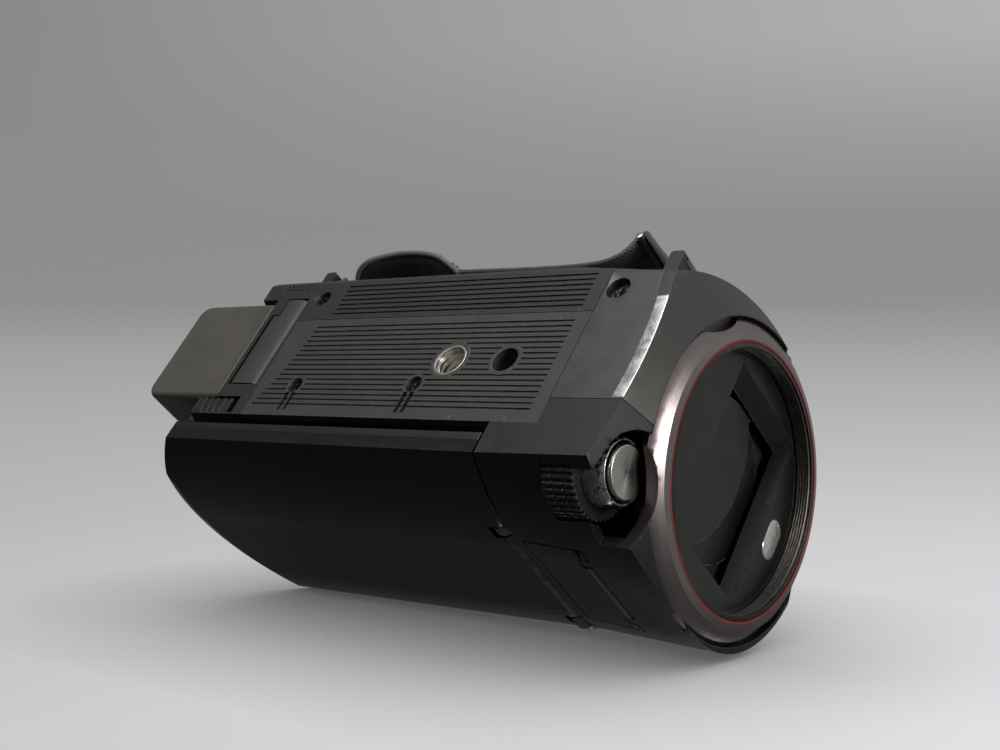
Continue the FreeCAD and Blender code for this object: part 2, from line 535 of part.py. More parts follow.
# Tripod socket, anti-twist hole and cover screws
insert = cyl_z(0, 0, 3.6, 0.0, 8.0).fuse(cyl_z(0, 0, 5.2, WALL, 6.8)).cut(cyl_z(0, 0, TRIPOD_R, -1, 7.0))
parts["tripod_socket"] = insert.removeSplitter()
bottom = bottom.cut(cyl_z(0, 0, 3.6, -1, 3))
boss = cyl_z(0, PIN_Y, PIN_R + 1.3, WALL, 6.2)
bottom = bottom.fuse(boss).cut(cyl_z(0, PIN_Y, PIN_R, -1, 5.0)).removeSplitter()
screws = []
for k, (sx, sy) in enumerate(SCREWS):
    z0 = 0.75 if k else 1.1
    head = cyl_z(sx, sy, SCREW_HEAD_R, z0, 1.45 if k else 1.75)
    cross = [box(sx - 0.9, sy - 0.18, z0 - 1, sx + 0.9, sy + 0.18, z0 + 0.4),
             box(sx - 0.18, sy - 0.9, z0 - 1, sx + 0.18, sy + 0.9, z0 + 0.4)]
    screw = head.fuse(cyl_z(sx, sy, 0.9, z0, 6.5)).cut(cross).removeSplitter()
    screws.append(screw)
    pocket = cyl_z(sx, sy, SCREW_HEAD_R + (0.3 if k else 0.9), -1, 1.45 if k else 1.75)
    way = cyl_z(sx, sy, 0.9, -1, 3)
    bottom = bottom.cut([pocket, way])
    left = left.cut([pocket, way])
    parts["front_bezel"] = parts["front_bezel"].cut([pocket, way])
    if k > 1:
        bottom = bottom.cut([box(sx + 1.9, sy - 1.4, -1, 12.8, sy - 0.2, 1.0), box(sx + 1.9, sy + 0.3, -1, 12.8, sy + 1.5, 1.0)])
parts["base_screws"] = Part.Compound(screws)
parts["bottom_cover"] = bottom

# Card door in the base behind the cover, card socket above it
NOTCH_X = DOOR_X0 + 4.6
NOTCH_Y = DOOR_Y1 - 2.4
door_hole = box(DOOR_X0, DOOR_Y0, -1, DOOR_X1, DOOR_Y1, WALL + 0.5).cut(box(-60, NOTCH_Y, -2, NOTCH_X, 90, 5))
left = left.cut(door_hole)
door = box(DOOR_X0 + GAP, DOOR_Y0 + GAP, 0.0, DOOR_X1 - GAP, DOOR_Y1 - GAP, DOOR_T)
door = door.cut(box(DOOR_X0, NOTCH_Y - GAP, -1, NOTCH_X + GAP, DOOR_Y1, 3))
edge = poly([(DOOR_X0, DOOR_Y0, -0.1), (DOOR_X0, DOOR_Y0 + 2.2, -0.1), (DOOR_X0, DOOR_Y0, 0.9)], (30, 0, 0))
door = door.cut(edge)
DOOR_AXIS_Y = DOOR_Y1 - 1.3
DOOR_AXIS_Z = 1.0
door = door.fuse(cyl_x(DOOR_AXIS_Y, DOOR_AXIS_Z, 0.75, NOTCH_X + GAP, DOOR_X1 - GAP))
door_nose = box(-60, DOOR_AXIS_Y, -5, 60, DOOR_Y1, DOOR_AXIS_Z).cut(cyl_x(DOOR_AXIS_Y, DOOR_AXIS_Z, 1.0, -61, 61))
door = door.common(box(-60, 0, 0, 60, 90, 5)).cut(door_nose)
door_pin = cyl_x(DOOR_AXIS_Y, DOOR_AXIS_Z, 0.4, NOTCH_X - 1.2, DOOR_X1 + 0.8)
door = door.cut(cyl_x(DOOR_AXIS_Y, DOOR_AXIS_Z, 0.45, DOOR_X0 - 1, DOOR_X1 + 1)).removeSplitter()
parts["card_door"] = door
left = left.cut(door_pin)
parts["card_door_pin"] = door_pin
socket = box(DOOR_X0 + 0.8, DOOR_Y0 + 1.2, 2.6, DOOR_X1 + 1.6, DOOR_Y1 - 3.2, 29.0)
socket = socket.cut(box(-17.0 + 0.4, DOOR_Y0 + 2.2, 0, DOOR_X1 + 1.0, DOOR_Y0 + 4.7, 27.0))
parts["card_socket"] = socket

# Speaker holes in the rear corner of the grip side
holes = []
for i in range(3):
    for j in range(6):
        holes.append(cyl_z(-22.6 + 1.1 * i, 53.5 + 1.3 * j, 0.3, -1, 4.5))
left = left.cut(holes)
parts["speaker"] = cyl_z(-22.4, 56.5, 4.0, 7.0, 10.0)

# Battery bay through the rear, battery, contacts and latch
bay = box(BAT_X0 - GAP, BAT_Y0 - GAP, -1, BAT_X1 + GAP, 90, BAT_Z0 + BAT_H + GAP)
left = left.cut(bay)
rear = rear.cut(bay)
battery = box(BAT_X0, BAT_Y0, BAT_Z0, BAT_X1, BAT_Y1, BAT_Z0 + BAT_H)
battery = rounded(battery, 3.2, lambda e: along(e, (0, 0, 1)) and e.BoundBox.YMin > 80)
battery = rounded(battery, 1.2, lambda e: e.BoundBox.ZMax < BAT_Z0 + 0.1 or e.BoundBox.ZMin > BAT_Z0 + BAT_H - 0.1)
battery = battery.cut(box(4.0, BAT_Y0 - 1, 12, 7.6, BAT_Y0 + 1.2, 30))
parts["battery"] = battery
parts["battery_contacts"] = box(4.4, BAT_Y0 - GAP - 1.6, 13, 7.2, BAT_Y0 - GAP - 0.2, 29)
wall = box(BAT_X0 - GAP - 1.2, BAT_Y0 - GAP - 1.4, 2.0, RECESS_X - WALL, BAT_Y0 - GAP, BAT_H + 3.0)
wall = wall.cut([parts["battery_contacts"], socket])
parts["battery_bay_wall"] = wall.common(cavity)
LATCH_X0 = 9.9
LATCH_X1 = 13.5
LATCH_Y0 = 55.4
LATCH_Y1 = 66.6
latch_way = box(LATCH_X0 - GAP, LATCH_Y0 - 2.4, -1, LATCH_X1 + GAP, 90, WALL + 0.4)
left = left.cut(latch_way)
rear = rear.cut(latch_way)
latch = box(LATCH_X0, LATCH_Y0, 0.35, LATCH_X1, LATCH_Y1, 1.7)
latch = latch.cut([box(LATCH_X0 - 1, LATCH_Y0 + 1.2 + 2.1 * k, 0, LATCH_X1 + 1, LATCH_Y0 + 2.1 + 2.1 * k, 0.75) for k in range(5)])
parts["battery_latch"] = latch.removeSplitter()
parts["left_shell"] = left.removeSplitter()

# Recess wall behind the screen: power and mode buttons, sockets
POWER = (24.0, 34.0)
MODE = (36.0, 34.0)


def side_button(y, z, r):
    cap = cyl_x(y, z, r, RECESS_X - 1.4, RECESS_X + 0.8).fuse(cyl_x(y, z, r + 0.9, RECESS_X - 3.2, RECESS_X - WALL - GAP))
    cap = cap.fuse(cyl_x(y, z, r, RECESS_X - 3.2, RECESS_X - 1.4)).removeSplitter()
    return rounded(cap, 0.3, lambda e: e.BoundBox.XMin > RECESS_X + 0.7)


parts["power_button"] = side_button(POWER[0], POWER[1], 3.0)
parts["mode_button"] = side_button(MODE[0], MODE[1], 3.0)
right = right.cut([cyl_x(POWER[0], POWER[1], 3.0 + GAP, 5, 30), cyl_x(MODE[0], MODE[1], 3.0 + GAP, 5, 30)])
ports = []
for y, z, w, h in ((45.0, 14.0, 5.6, 2.4), (45.0, 23.0, 4.0, 1.7)):
    case = box(RECESS_X - 8.0, y - h / 2 - 0.8, z - w / 2 - 0.8, RECESS_X - 0.2, y + h / 2 + 0.8, z + w / 2 + 0.8)
    ports.append(case.cut(box(RECESS_X - 7.0, y - h / 2, z - w / 2, RECESS_X + 1, y + h / 2, z + w / 2)))
    right = right.cut(case).cut(box(RECESS_X - 0.3, y - h / 2 - 0.8, z - w / 2 - 0.8, 30, y + h / 2 + 0.8, z + w / 2 + 0.8))
parts["side_sockets"] = Part.Compound(ports)
parts["right_shell"] = right

# Top cover: grille over the microphones, raised pad for the controls
pad = soft_box(-25.0, 12.0, 56, -4.0, 52.0, BODY_TOP + 1.4, 4.0, (0, 0, 1))
pad = rounded(pad, 1.0, lambda e: e.BoundBox.ZMin > BODY_TOP + 1.3).cut(body_volume(WALL, FRONT_Y, REAR_Y, WALL))
pad = pad.common(box(-60, -60, 58, 60, 90, 90))
top = top.fuse(pad).removeSplitter()
ZOOM = (-14.5, 22.0)
PHOTO = (-14.5, 37.0)
pad_z = BODY_TOP + 1.4
PHOTO_R = 3.6
ZOOM_PIN_R = 1.6
top = top.cut([cyl_z(PHOTO[0], PHOTO[1], PHOTO_R + GAP, 50, 90), cyl_z(ZOOM[0], ZOOM[1], ZOOM_PIN_R + 0.05, 50, 90)])
lever = cyl_z(ZOOM[0], ZOOM[1], 5.6, pad_z + 0.3, pad_z + 2.2)
lever = lever.fuse(soft_box(ZOOM[0] - 2.4, ZOOM[1] - 9.5, pad_z + 0.3, ZOOM[0] + 2.4, ZOOM[1], pad_z + 2.2, 1.5, (0, 0, 1)))
lever = lever.fuse(box(ZOOM[0] - 1.0, ZOOM[1] - 9.0, pad_z + 2.2, ZOOM[0] + 1.0, ZOOM[1] - 4.0, pad_z + 3.4))
lever = lever.fuse([cyl_z(ZOOM[0], ZOOM[1], ZOOM_PIN_R, 62.6, pad_z + 0.4), cyl_z(ZOOM[0], ZOOM[1], 2.6, 62.6, 63.6)])
top = top.cut(cyl_z(ZOOM[0], ZOOM[1], 3.0, 58, 63.9))
parts["zoom_lever"] = lever.removeSplitter()
photo = cyl_z(PHOTO[0], PHOTO[1], PHOTO_R, 62.0, pad_z + 1.2)
photo = photo.fuse(cyl_z(PHOTO[0], PHOTO[1], PHOTO_R + 1.0, 61.4, 62.2))
top = top.cut(cyl_z(PHOTO[0], PHOTO[1], PHOTO_R + 1.4, 50, 62.6))
parts["photo_button"] = rounded(photo.removeSplitter(), 0.4, lambda e: e.BoundBox.ZMin > pad_z + 1.1)
grille_box = soft_box(-11.0, -26.0, BODY_TOP - 1.0, 9.0, -17.5, BODY_TOP + 0.8, 3.0, (0, 0, 1))
top = top.cut(grille_box)
parts["top_cover"] = top
slots = [box(-8.6 + 2.2 * k, -24.4, BODY_TOP, -7.4 + 2.2 * k, -19.1, BODY_TOP + 2) for k in range(8)]
parts["microphone_grille"] = grille_box.cut(slots)

# Rear cover: record button for the thumb, supply socket below it
REC = (-25.0, 40.0)
REC_R = 4.6
rear = rear.cut(cyl_y(REC[0], REC[1], REC_R + GAP, 60, 90))
record = cyl_y(REC[0], REC[1], REC_R, REAR_Y - 2.8, REAR_Y + 1.0)
record = record.fuse(cyl_y(REC[0], REC[1], REC_R + 1.0, REAR_Y - 3.6, REAR_Y - WALL - 0.95)).removeSplitter()
rear = rear.cut(cyl_y(REC[0], REC[1], REC_R + 1.35, 60, REAR_Y - WALL))
left_rear = cyl_y(REC[0], REC[1], REC_R + 1.35, REAR_Y - 4.0, REAR_Y)
parts["record_button"] = rounded(record, 0.6, lambda e: e.BoundBox.YMin > REAR_Y + 0.9)
parts["left_shell"] = parts["left_shell"].cut(left_rear)
DC = (-24.0, 14.0)
dc = cyl_y(DC[0], DC[1], 3.6, REAR_Y - 9.0, REAR_Y - 0.4).cut(cyl_y(DC[0], DC[1], 2.2, REAR_Y - 8.0, REAR_Y + 1))
dc = dc.fuse(cyl_y(DC[0], DC[1], 0.6, REAR_Y - 8.5, REAR_Y - 1.2)).removeSplitter()
rear = rear.cut(cyl_y(DC[0], DC[1], 3.6, 50, 90))
parts["supply_socket"] = dc
parts["left_shell"] = parts["left_shell"].cut(cyl_y(DC[0], DC[1], 3.6, REAR_Y - 9.0, 90))
fin = panel_trim.translated(V(0, -1.2, 0)).common(box(BAT_X1 + 1.0, rear_cut_y + 0.6, 3.0, RECESS_X, 95, 60))
rear = rear.fuse(fin).removeSplitter()
parts["rear_cover"] = rear

# Chassis and board inside
chassis = box(-20.0, -18.0, 8.4, 8.0, 48.0, 9.6).cut(cyl_z(0, 0, 3.0, 0, 20))
foot = cyl_z(0, 0, 5.2, 8.0, 8.4)
posts = [cyl_z(-17.5, 40.0, 1.6, WALL, 8.4), cyl_z(6.4, -8.0, 1.6, WALL, 8.4), cyl_z(5.9, 30.0, 1.6, WALL, 8.4)]
parts["main_chassis"] = chassis.fuse([foot] + posts).removeSplitter()
parts["circuit_board"] = box(3.6, -2.0, 11.0, 4.8, 48.0, 52.0)

# Hand strap: webbing ends, anchors and the soft pad
PAD_Y0 = 26.0
PAD_Y1 = 60.0
FOLD = (GRIP_X - 10.0, -20.0)


def band(path, thick, z0, z1):
    """Strip of even thickness along a path of (x, y) points."""
    left_side = []
    right_side = []
    for k, (px, py) in enumerate(path):
        ax, ay = path[max(k - 1, 0)]
        bx, by_ = path[min(k + 1, len(path) - 1)]
        dx, dy = bx - ax, by_ - ay
        run = math.hypot(dx, dy)
        nx, ny = -dy / run * thick / 2, dx / run * thick / 2
        left_side.append((px + nx, py + ny, z0))
        right_side.append((px - nx, py - ny, z0))
    return poly(left_side + right_side[::-1], (0, 0, z1 - z0))


end_x = GRIP_X - STRAP_END
peak_x = GRIP_X - STRAP_OUT
peak_y = (PAD_Y0 + PAD_Y1) / 2
inner = Part.Arc(V(end_x, PAD_Y0, STRAP_Z0), V(peak_x, peak_y, STRAP_Z0), V(end_x, PAD_Y1, STRAP_Z0)).toShape()
outer_arc = Part.Arc(V(end_x - STRAP_T, PAD_Y0, STRAP_Z0), V(peak_x - STRAP_T, peak_y, STRAP_Z0),
                     V(end_x - STRAP_T, PAD_Y1, STRAP_Z0)).toShape()
pad_wire = Part.Wire([inner, Part.makeLine(V(end_x, PAD_Y1, STRAP_Z0), V(end_x - STRAP_T, PAD_Y1, STRAP_Z0)), outer_arc,
                      Part.makeLine(V(end_x - STRAP_T, PAD_Y0, STRAP_Z0), V(end_x, PAD_Y0, STRAP_Z0))])
parts["strap_pad"] = Part.Face(pad_wire).extrude(V(0, 0, STRAP_Z1 - STRAP_Z0))

WEB_Z0 = STRAP_Z0 + 2.0
WEB_Z1 = STRAP_Z1 - 10.0
ANCHORS_Y = (-31.5, 63.6)
EYE_OUT = 2.3         # how far the strap eyes stand off the grip side
lugs = []
for y in ANCHORS_Y:
    lug = soft_box(GRIP_X - EYE_OUT, y - 1.6, WEB_Z0 - 1.6, GRIP_X + 4.0, y + 1.6, WEB_Z1 + 1.6, 0.7, (0, 0, 1))
    slot = box(GRIP_X - EYE_OUT + 0.7, y - 10, WEB_Z0 - GAP, GRIP_X - EYE_OUT + 2.1, y + 10, WEB_Z1 + GAP)
    lugs.append(lug.cut(slot).cut(outer))
parts["strap_anchors"] = Part.Compound(lugs)
web_x = GRIP_X - EYE_OUT + 1.4
front_web = band([(web_x, ANCHORS_Y[0] - 1.9), (web_x, ANCHORS_Y[0] + 2.2), FOLD, (web_x - 1.2, -11.0),
                  (end_x - STRAP_T / 2, PAD_Y0 - 0.6)], WEB_T, WEB_Z0, WEB_Z1)
rear_web = band([(end_x - STRAP_T / 2, PAD_Y1 + 0.6), (web_x, ANCHORS_Y[1] - 2.6), (web_x, ANCHORS_Y[1] + 3.0)],
                WEB_T, WEB_Z0, WEB_Z1)
parts["strap_bar"] = cyl_z(FOLD[0] + 2.0, FOLD[1] + 0.4, 0.75, WEB_Z0 - 1.0, WEB_Z1 + 1.0)
parts["strap_webbing"] = Part.Compound([front_web.cut(outer).cut([lugs[0], parts["strap_bar"]]),
                                        rear_web.cut(outer).cut(lugs[1])])

for name, shape in parts.items():
    shape.exportStep("parts/" + name + ".step")
print(len(parts), "parts")
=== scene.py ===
import math

import bmesh
import bpy
from mathutils import Matrix, Vector


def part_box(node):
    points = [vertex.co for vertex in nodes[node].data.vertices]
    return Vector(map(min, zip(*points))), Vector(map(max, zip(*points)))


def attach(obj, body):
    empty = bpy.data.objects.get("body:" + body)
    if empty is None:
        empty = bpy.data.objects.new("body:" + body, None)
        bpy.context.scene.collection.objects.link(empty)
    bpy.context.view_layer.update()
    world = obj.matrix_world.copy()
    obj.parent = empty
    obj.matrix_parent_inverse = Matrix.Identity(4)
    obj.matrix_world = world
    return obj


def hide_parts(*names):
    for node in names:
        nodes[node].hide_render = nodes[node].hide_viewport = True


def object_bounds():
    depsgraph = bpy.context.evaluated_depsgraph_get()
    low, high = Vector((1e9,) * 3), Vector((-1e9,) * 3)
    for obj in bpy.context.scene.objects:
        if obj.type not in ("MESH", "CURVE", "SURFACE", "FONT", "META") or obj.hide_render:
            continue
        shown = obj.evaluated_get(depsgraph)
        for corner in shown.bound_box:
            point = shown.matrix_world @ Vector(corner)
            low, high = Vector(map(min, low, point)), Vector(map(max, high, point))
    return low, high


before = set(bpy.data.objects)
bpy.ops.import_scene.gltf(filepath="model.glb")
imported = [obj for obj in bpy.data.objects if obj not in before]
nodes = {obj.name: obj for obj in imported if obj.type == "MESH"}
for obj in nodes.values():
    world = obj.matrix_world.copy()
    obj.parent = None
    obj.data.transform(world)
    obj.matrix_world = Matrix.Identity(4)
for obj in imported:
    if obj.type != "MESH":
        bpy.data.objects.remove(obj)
cad_low, cad_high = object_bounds()
MM = 0.001

# Steel chassis, the folded and zinc plated sheet that every moulding is screwed to.
# It is the first piece on the bench; the lens block, sockets and covers go round it.
# Sheet steel keeps a fine rolled grain with faint cloudy spangle.


def add(tree, kind, sockets=None, **settings):
    """Adds a shader node and fills its sockets with values or other nodes' outputs."""
    made = tree.nodes.new("ShaderNode" + kind)
    for name, value in settings.items():
        setattr(made, name, value)
    for key, value in (sockets or {}).items():
        if isinstance(value, bpy.types.NodeSocket):
            tree.links.new(value, made.inputs[key])
        else:
            made.inputs[key].default_value = value
    return made


def calc(tree, operation, a, b=0.0, c=0.0):
    return add(tree, "Math", {0: a, 1: b, 2: c}, operation=operation).outputs[0]


def vary(tree, where, size, detail=2.0, rough=0.5):
    """Even noise from 0 to 1 whose features measure about size millimetres."""
    sockets = {"Vector": where, "Scale": 1.0 / (size * MM), "Detail": detail, "Roughness": rough}
    return add(tree, "TexNoise", sockets).outputs[0]


def steps(tree, value, *stops):
    """Turns a value into another along straight lines between (place, value) stops."""
    ramp = add(tree, "ValToRGB", {0: value})
    points = ramp.color_ramp.elements
    while len(points) < len(stops):
        points.new(0.5)
    for point, (place, level) in zip(points, sorted(stops)):
        point.position = place
        point.color = (level, level, level, 1) if isinstance(level, (int, float)) else (*level, 1)
    return ramp.outputs[0]


def blend_of(tree, share, a, b):
    """Colour a where share is 0 and colour b where it is 1."""
    return add(tree, "Mix", {0: share, 6: a, 7: b}, data_type="RGBA").outputs[2]


def stretched(tree, where, x, y, z):
    return add(tree, "Mapping", {"Vector": where, "Scale": (x, y, z)}).outputs[0]


def begin(name):
    """An empty finish: its tree, its main shader and the place on the piece."""
    made = bpy.data.materials.new(name)
    made.use_nodes = True
    tree = made.node_tree
    return made, tree, tree.nodes["Principled BSDF"], add(tree, "TexCoord").outputs["Object"]


def bumped(tree, shader, height, depth, normal=None):
    """Gives the surface relief of depth millimetres from a height of 0 to 1."""
    sockets = {"Height": height, "Distance": depth * MM, "Strength": 1.0}
    if normal is not None:
        sockets["Normal"] = normal
    relief = add(tree, "Bump", sockets)
    tree.links.new(relief.outputs[0], shader.inputs["Normal"])
    return relief.outputs[0]


def wear_and_highlight_edge_mask(tree, reach, where, patch=1.2):
    """0 on open faces and up to 1 in broken patches along sharp edges."""
    soft = add(tree, "Bevel", {"Radius": reach * MM}, samples=4).outputs[0]
    plain = add(tree, "NewGeometry").outputs["Normal"]
    turn = add(tree, "VectorMath", {0: soft, 1: plain}, operation="DOT_PRODUCT").outputs["Value"]
    edge = steps(tree, turn, (0.80, 1.0), (0.985, 0.0))
    return calc(tree, "MULTIPLY", edge, steps(tree, vary(tree, where, patch, 4), (0.42, 0.0), (0.62, 1.0)))


def dress(names, finish, round_off=0.12, sharp=32):
    """Puts a finish on CAD nodes and eases their sharp edges by round_off millimetres."""
    for name in names.split():
        piece = nodes[name]
        piece.data.materials.clear()
        piece.data.materials.append(finish)
        for face in piece.data.polygons:
            face.use_smooth = True
        join = piece.modifiers.new("join", "WELD")
        join.merge_threshold = 0.000002
        if round_off:
            ease = piece.modifiers.new("ease", "BEVEL")
            ease.width = round_off * MM
            ease.segments = 2
            ease.limit_method = "ANGLE"
            ease.angle_limit = math.radians(sharp)
            ease.miter_outer = "MITER_ARC"
            ease.harden_normals = False
        even = piece.modifiers.new("even", "WEIGHTED_NORMAL")
        even.weight = 80
        even.keep_sharp = False


def rolled_steel(name, colour, rough, lines=(40, 900, 900)):
    made, tree, shader, where = begin(name)
    grain = vary(tree, stretched(tree, where, *[n / 400 for n in lines]), 2.0, 3)
    cloud = vary(tree, where, 6.0, 4)
    tone = calc(tree, "MULTIPLY_ADD", cloud, 0.5, calc(tree, "MULTIPLY", grain, 0.5))
    dark, light = [c * 0.72 for c in colour], [min(c * 1.18, 1) for c in colour]
    tree.links.new(steps(tree, tone, (0.3, dark), (0.7, light)), shader.inputs["Base Color"])
    tree.links.new(steps(tree, tone, (0.3, rough + 0.12), (0.7, rough - 0.05)), shader.inputs["Roughness"])
    shader.inputs["Metallic"].default_value = 1.0
    bumped(tree, shader, grain, 0.004)
    return made


plated = rolled_steel("plated_sheet", (0.56, 0.57, 0.58), 0.34)
bright_steel = rolled_steel("bright_steel", (0.62, 0.61, 0.59), 0.24, (300, 300, 60))
dress("main_chassis card_socket", plated)
dress("jack_door_pin card_door_pin screen_hinge_pin blade_pins strap_bar", bright_steel, 0.08)

# Circuit board, glass cloth and resin with copper lands under green solder mask.
# It stands on edge beside the lens block, with the image sensor on its own ceramic carrier.
# Tracks show as slightly raised lines under the mask.
mask, tree, shader, where = begin("solder_mask")
board = stretched(tree, where, 260, 260, 260)
lanes = add(tree, "TexBrick", {"Vector": board, "Scale": 1.0, "Mortar Size": 0.06}).outputs["Fac"]
tree.links.new(blend_of(tree, lanes, (0.01, 0.09, 0.035, 1), (0.02, 0.16, 0.06, 1)), shader.inputs["Base Color"])
tree.links.new(steps(tree, vary(tree, where, 3.0), (0.3, 0.28), (0.7, 0.42)), shader.inputs["Roughness"])
bumped(tree, shader, lanes, 0.02)
dress("circuit_board", mask)

# Lens block: a black moulded barrel that carries two glass groups and the sensor.
# The front group has a bloomed coating, seen as violet green gloss when the blades open.
# The glass slides and the barrel stays, screwed to the chassis.


def moulded(name, colour, rough=0.45, grain=0.28, relief=0.010, cloud=0.14, dust=0.0, edge_wear_and_highlight=0.0, hairs=0.0,
            gloss=0.5, wear_and_highlight_colour=(0.16, 0.155, 0.145)):
    """Spark textured moulded plastic: fine grain, cloudy tone, dust, hairline marks, paler edges: rubbed wear,
    and on the lens cover blades partly a painted highlight.
    """
    made, tree, shader, where = begin(name)
    broad = vary(tree, where, 14.0, 3)
    tone = [c * (1 - cloud) for c in colour], [c * (1 + cloud) for c in colour]
    paint = steps(tree, broad, (0.32, tone[0]), (0.68, tone[1]))
    pits = add(tree, "TexVoronoi", {"Vector": where, "Scale": 1 / (grain * MM)}, feature="SMOOTH_F1").outputs[0]
    fine = vary(tree, where, grain * 0.7, 3, 0.6)
    height = calc(tree, "MULTIPLY_ADD", pits, 0.6, calc(tree, "MULTIPLY", fine, 0.5))
    shine = steps(tree, vary(tree, where, 5.0, 5, 0.6), (0.30, rough - 0.05), (0.72, rough + 0.08))
    if hairs:
        across = vary(tree, stretched(tree, where, 1.0, 26.0, 14.0), 7.0, 3, 0.7)
        along = vary(tree, stretched(tree, where, 22.0, 1.2, 9.0), 8.0, 3, 0.7)
        line = calc(tree, "MAXIMUM", steps(tree, across, (0.70, 0.0), (0.76, 1.0)),
                    steps(tree, along, (0.70, 0.0), (0.77, 1.0)))
        line = calc(tree, "MULTIPLY", line, hairs)
        paint = blend_of(tree, line, paint, (*wear_and_highlight_colour, 1))
        height = calc(tree, "SUBTRACT", height, calc(tree, "MULTIPLY", line, 0.8))
    if dust:
        cell = add(tree, "TexVoronoi", {"Vector": where, "Scale": 520.0})
        dot = steps(tree, cell.outputs["Distance"], (0.07, 1.0), (0.13, 0.0))
        pick = add(tree, "SeparateColor", {0: cell.outputs["Color"]}).outputs[0]
        few = steps(tree, pick, (0.90, 0.0), (0.93, 1.0))
        patch = steps(tree, vary(tree, where, 9.0, 3), (0.45, 0.15), (0.65, 1.0))
        speck = calc(tree, "MULTIPLY", calc(tree, "MULTIPLY", dot, few), calc(tree, "MULTIPLY", patch, dust))
        paint = blend_of(tree, speck, paint, (0.30, 0.29, 0.27, 1))
    # Paler edges: rubbed wear, and on the lens cover blades partly a painted highlight.
    if edge_wear_and_highlight:
        edge = calc(tree, "MULTIPLY", wear_and_highlight_edge_mask(tree, 0.35, where), edge_wear_and_highlight)
        paint = blend_of(tree, edge, paint, (*wear_and_highlight_colour, 1))
    tree.links.new(paint, shader.inputs["Base Color"])
    tree.links.new(shine, shader.inputs["Roughness"])
    shader.inputs["Specular IOR Level"].default_value = gloss
    bumped(tree, shader, height, relief)
    return made


inner_black = moulded("inner_black", (0.012, 0.012, 0.013), 0.55, 0.5)
dress("lens_barrel lens_cover_base socket_tray battery_bay_wall dial_hub", inner_black)

glass, tree, shader, where = begin("bloomed_glass")
film = add(tree, "LayerWeight", {"Blend": 0.35}).outputs["Facing"]
# The coating's violet green reflection is painted into the glass colour, changing with the facing angle: a
# painted reflection.
painted_coating_reflection = steps(tree, film, (0.0, (0.02, 0.015, 0.05)), (0.5, (0.01, 0.05, 0.045)), (1.0, (0.05, 0.02, 0.06)))
tree.links.new(painted_coating_reflection, shader.inputs["Base Color"])
tree.links.new(steps(tree, vary(tree, where, 4.0, 4), (0.4, 0.02), (0.8, 0.06)), shader.inputs["Roughness"])
shader.inputs["Coat Weight"].default_value = 1.0
shader.inputs["Coat Roughness"].default_value = 0.02
dress("front_lens zoom_lens", glass, 0.1)

chip, tree, shader, where = begin("sensor_chip")
rows = add(tree, "TexChecker", {"Vector": where, "Scale": 4000.0}).outputs["Fac"]
tree.links.new(blend_of(tree, rows, (0.05, 0.03, 0.09, 1), (0.02, 0.06, 0.07, 1)), shader.inputs["Base Color"])
tree.links.new(steps(tree, vary(tree, where, 2.0), (0.3, 0.12), (0.7, 0.2)), shader.inputs["Roughness"])
shader.inputs["Metallic"].default_value = 0.6
dress("image_sensor", chip, 0.05)

# Side shells in black moulded plastic with a fine spark texture, clipped round the chassis.
# The strap side shows on the outside; the screen side lies behind the closed panel.
# Corners that rub on a table are burnished.
shell_black = moulded("shell_black", (0.017, 0.0172, 0.0165), 0.46, 0.22, 0.010, dust=0.5, edge_wear_and_highlight=0.35, hairs=0.12)
dress("left_shell right_shell", shell_black, 0.18)

# Base plate: matte charcoal moulding with fine ribs, held by cross head screws.
# Ribs are cut in the tool, so the texture runs over them; years on a desk leave hairlines,
# pale dust in the grooves and rubbed rib ends.
base_black = moulded("base_charcoal", (0.040, 0.0405, 0.037), 0.46, 0.20, 0.012, dust=1.0, edge_wear_and_highlight=0.5, hairs=0.22)
dress("bottom_cover", base_black, 0.1)

# Cover screws: small cross head screws, black chromate over steel, rubbed bright in the cross.
blackened, tree, shader, where = begin("blackened_steel")
rub = wear_and_highlight_edge_mask(tree, 0.2, where, 0.5)
tree.links.new(blend_of(tree, rub, (0.035, 0.033, 0.032, 1), (0.42, 0.40, 0.38, 1)), shader.inputs["Base Color"])
tree.links.new(steps(tree, vary(tree, where, 0.6, 3), (0.3, 0.22), (0.7, 0.40)), shader.inputs["Roughness"])
shader.inputs["Metallic"].default_value = 1.0
bumped(tree, shader, vary(tree, where, 0.25, 3), 0.006)
dress("base_screws", blackened, 0.06)

# Tripod socket: a turned steel insert pressed into a boss, with its quarter inch thread.
# The thread is a real helix cut to a sixty degree vee.
TRIPOD_R, TRIPOD_DEPTH, TRIPOD_PITCH, TRIPOD_VEE = 3.165, 6.7, 1.27, 0.42
turned_steel = rolled_steel("turned_insert", (0.66, 0.63, 0.57), 0.26, (120, 120, 900))
dress("tripod_socket", turned_steel, 0.15)


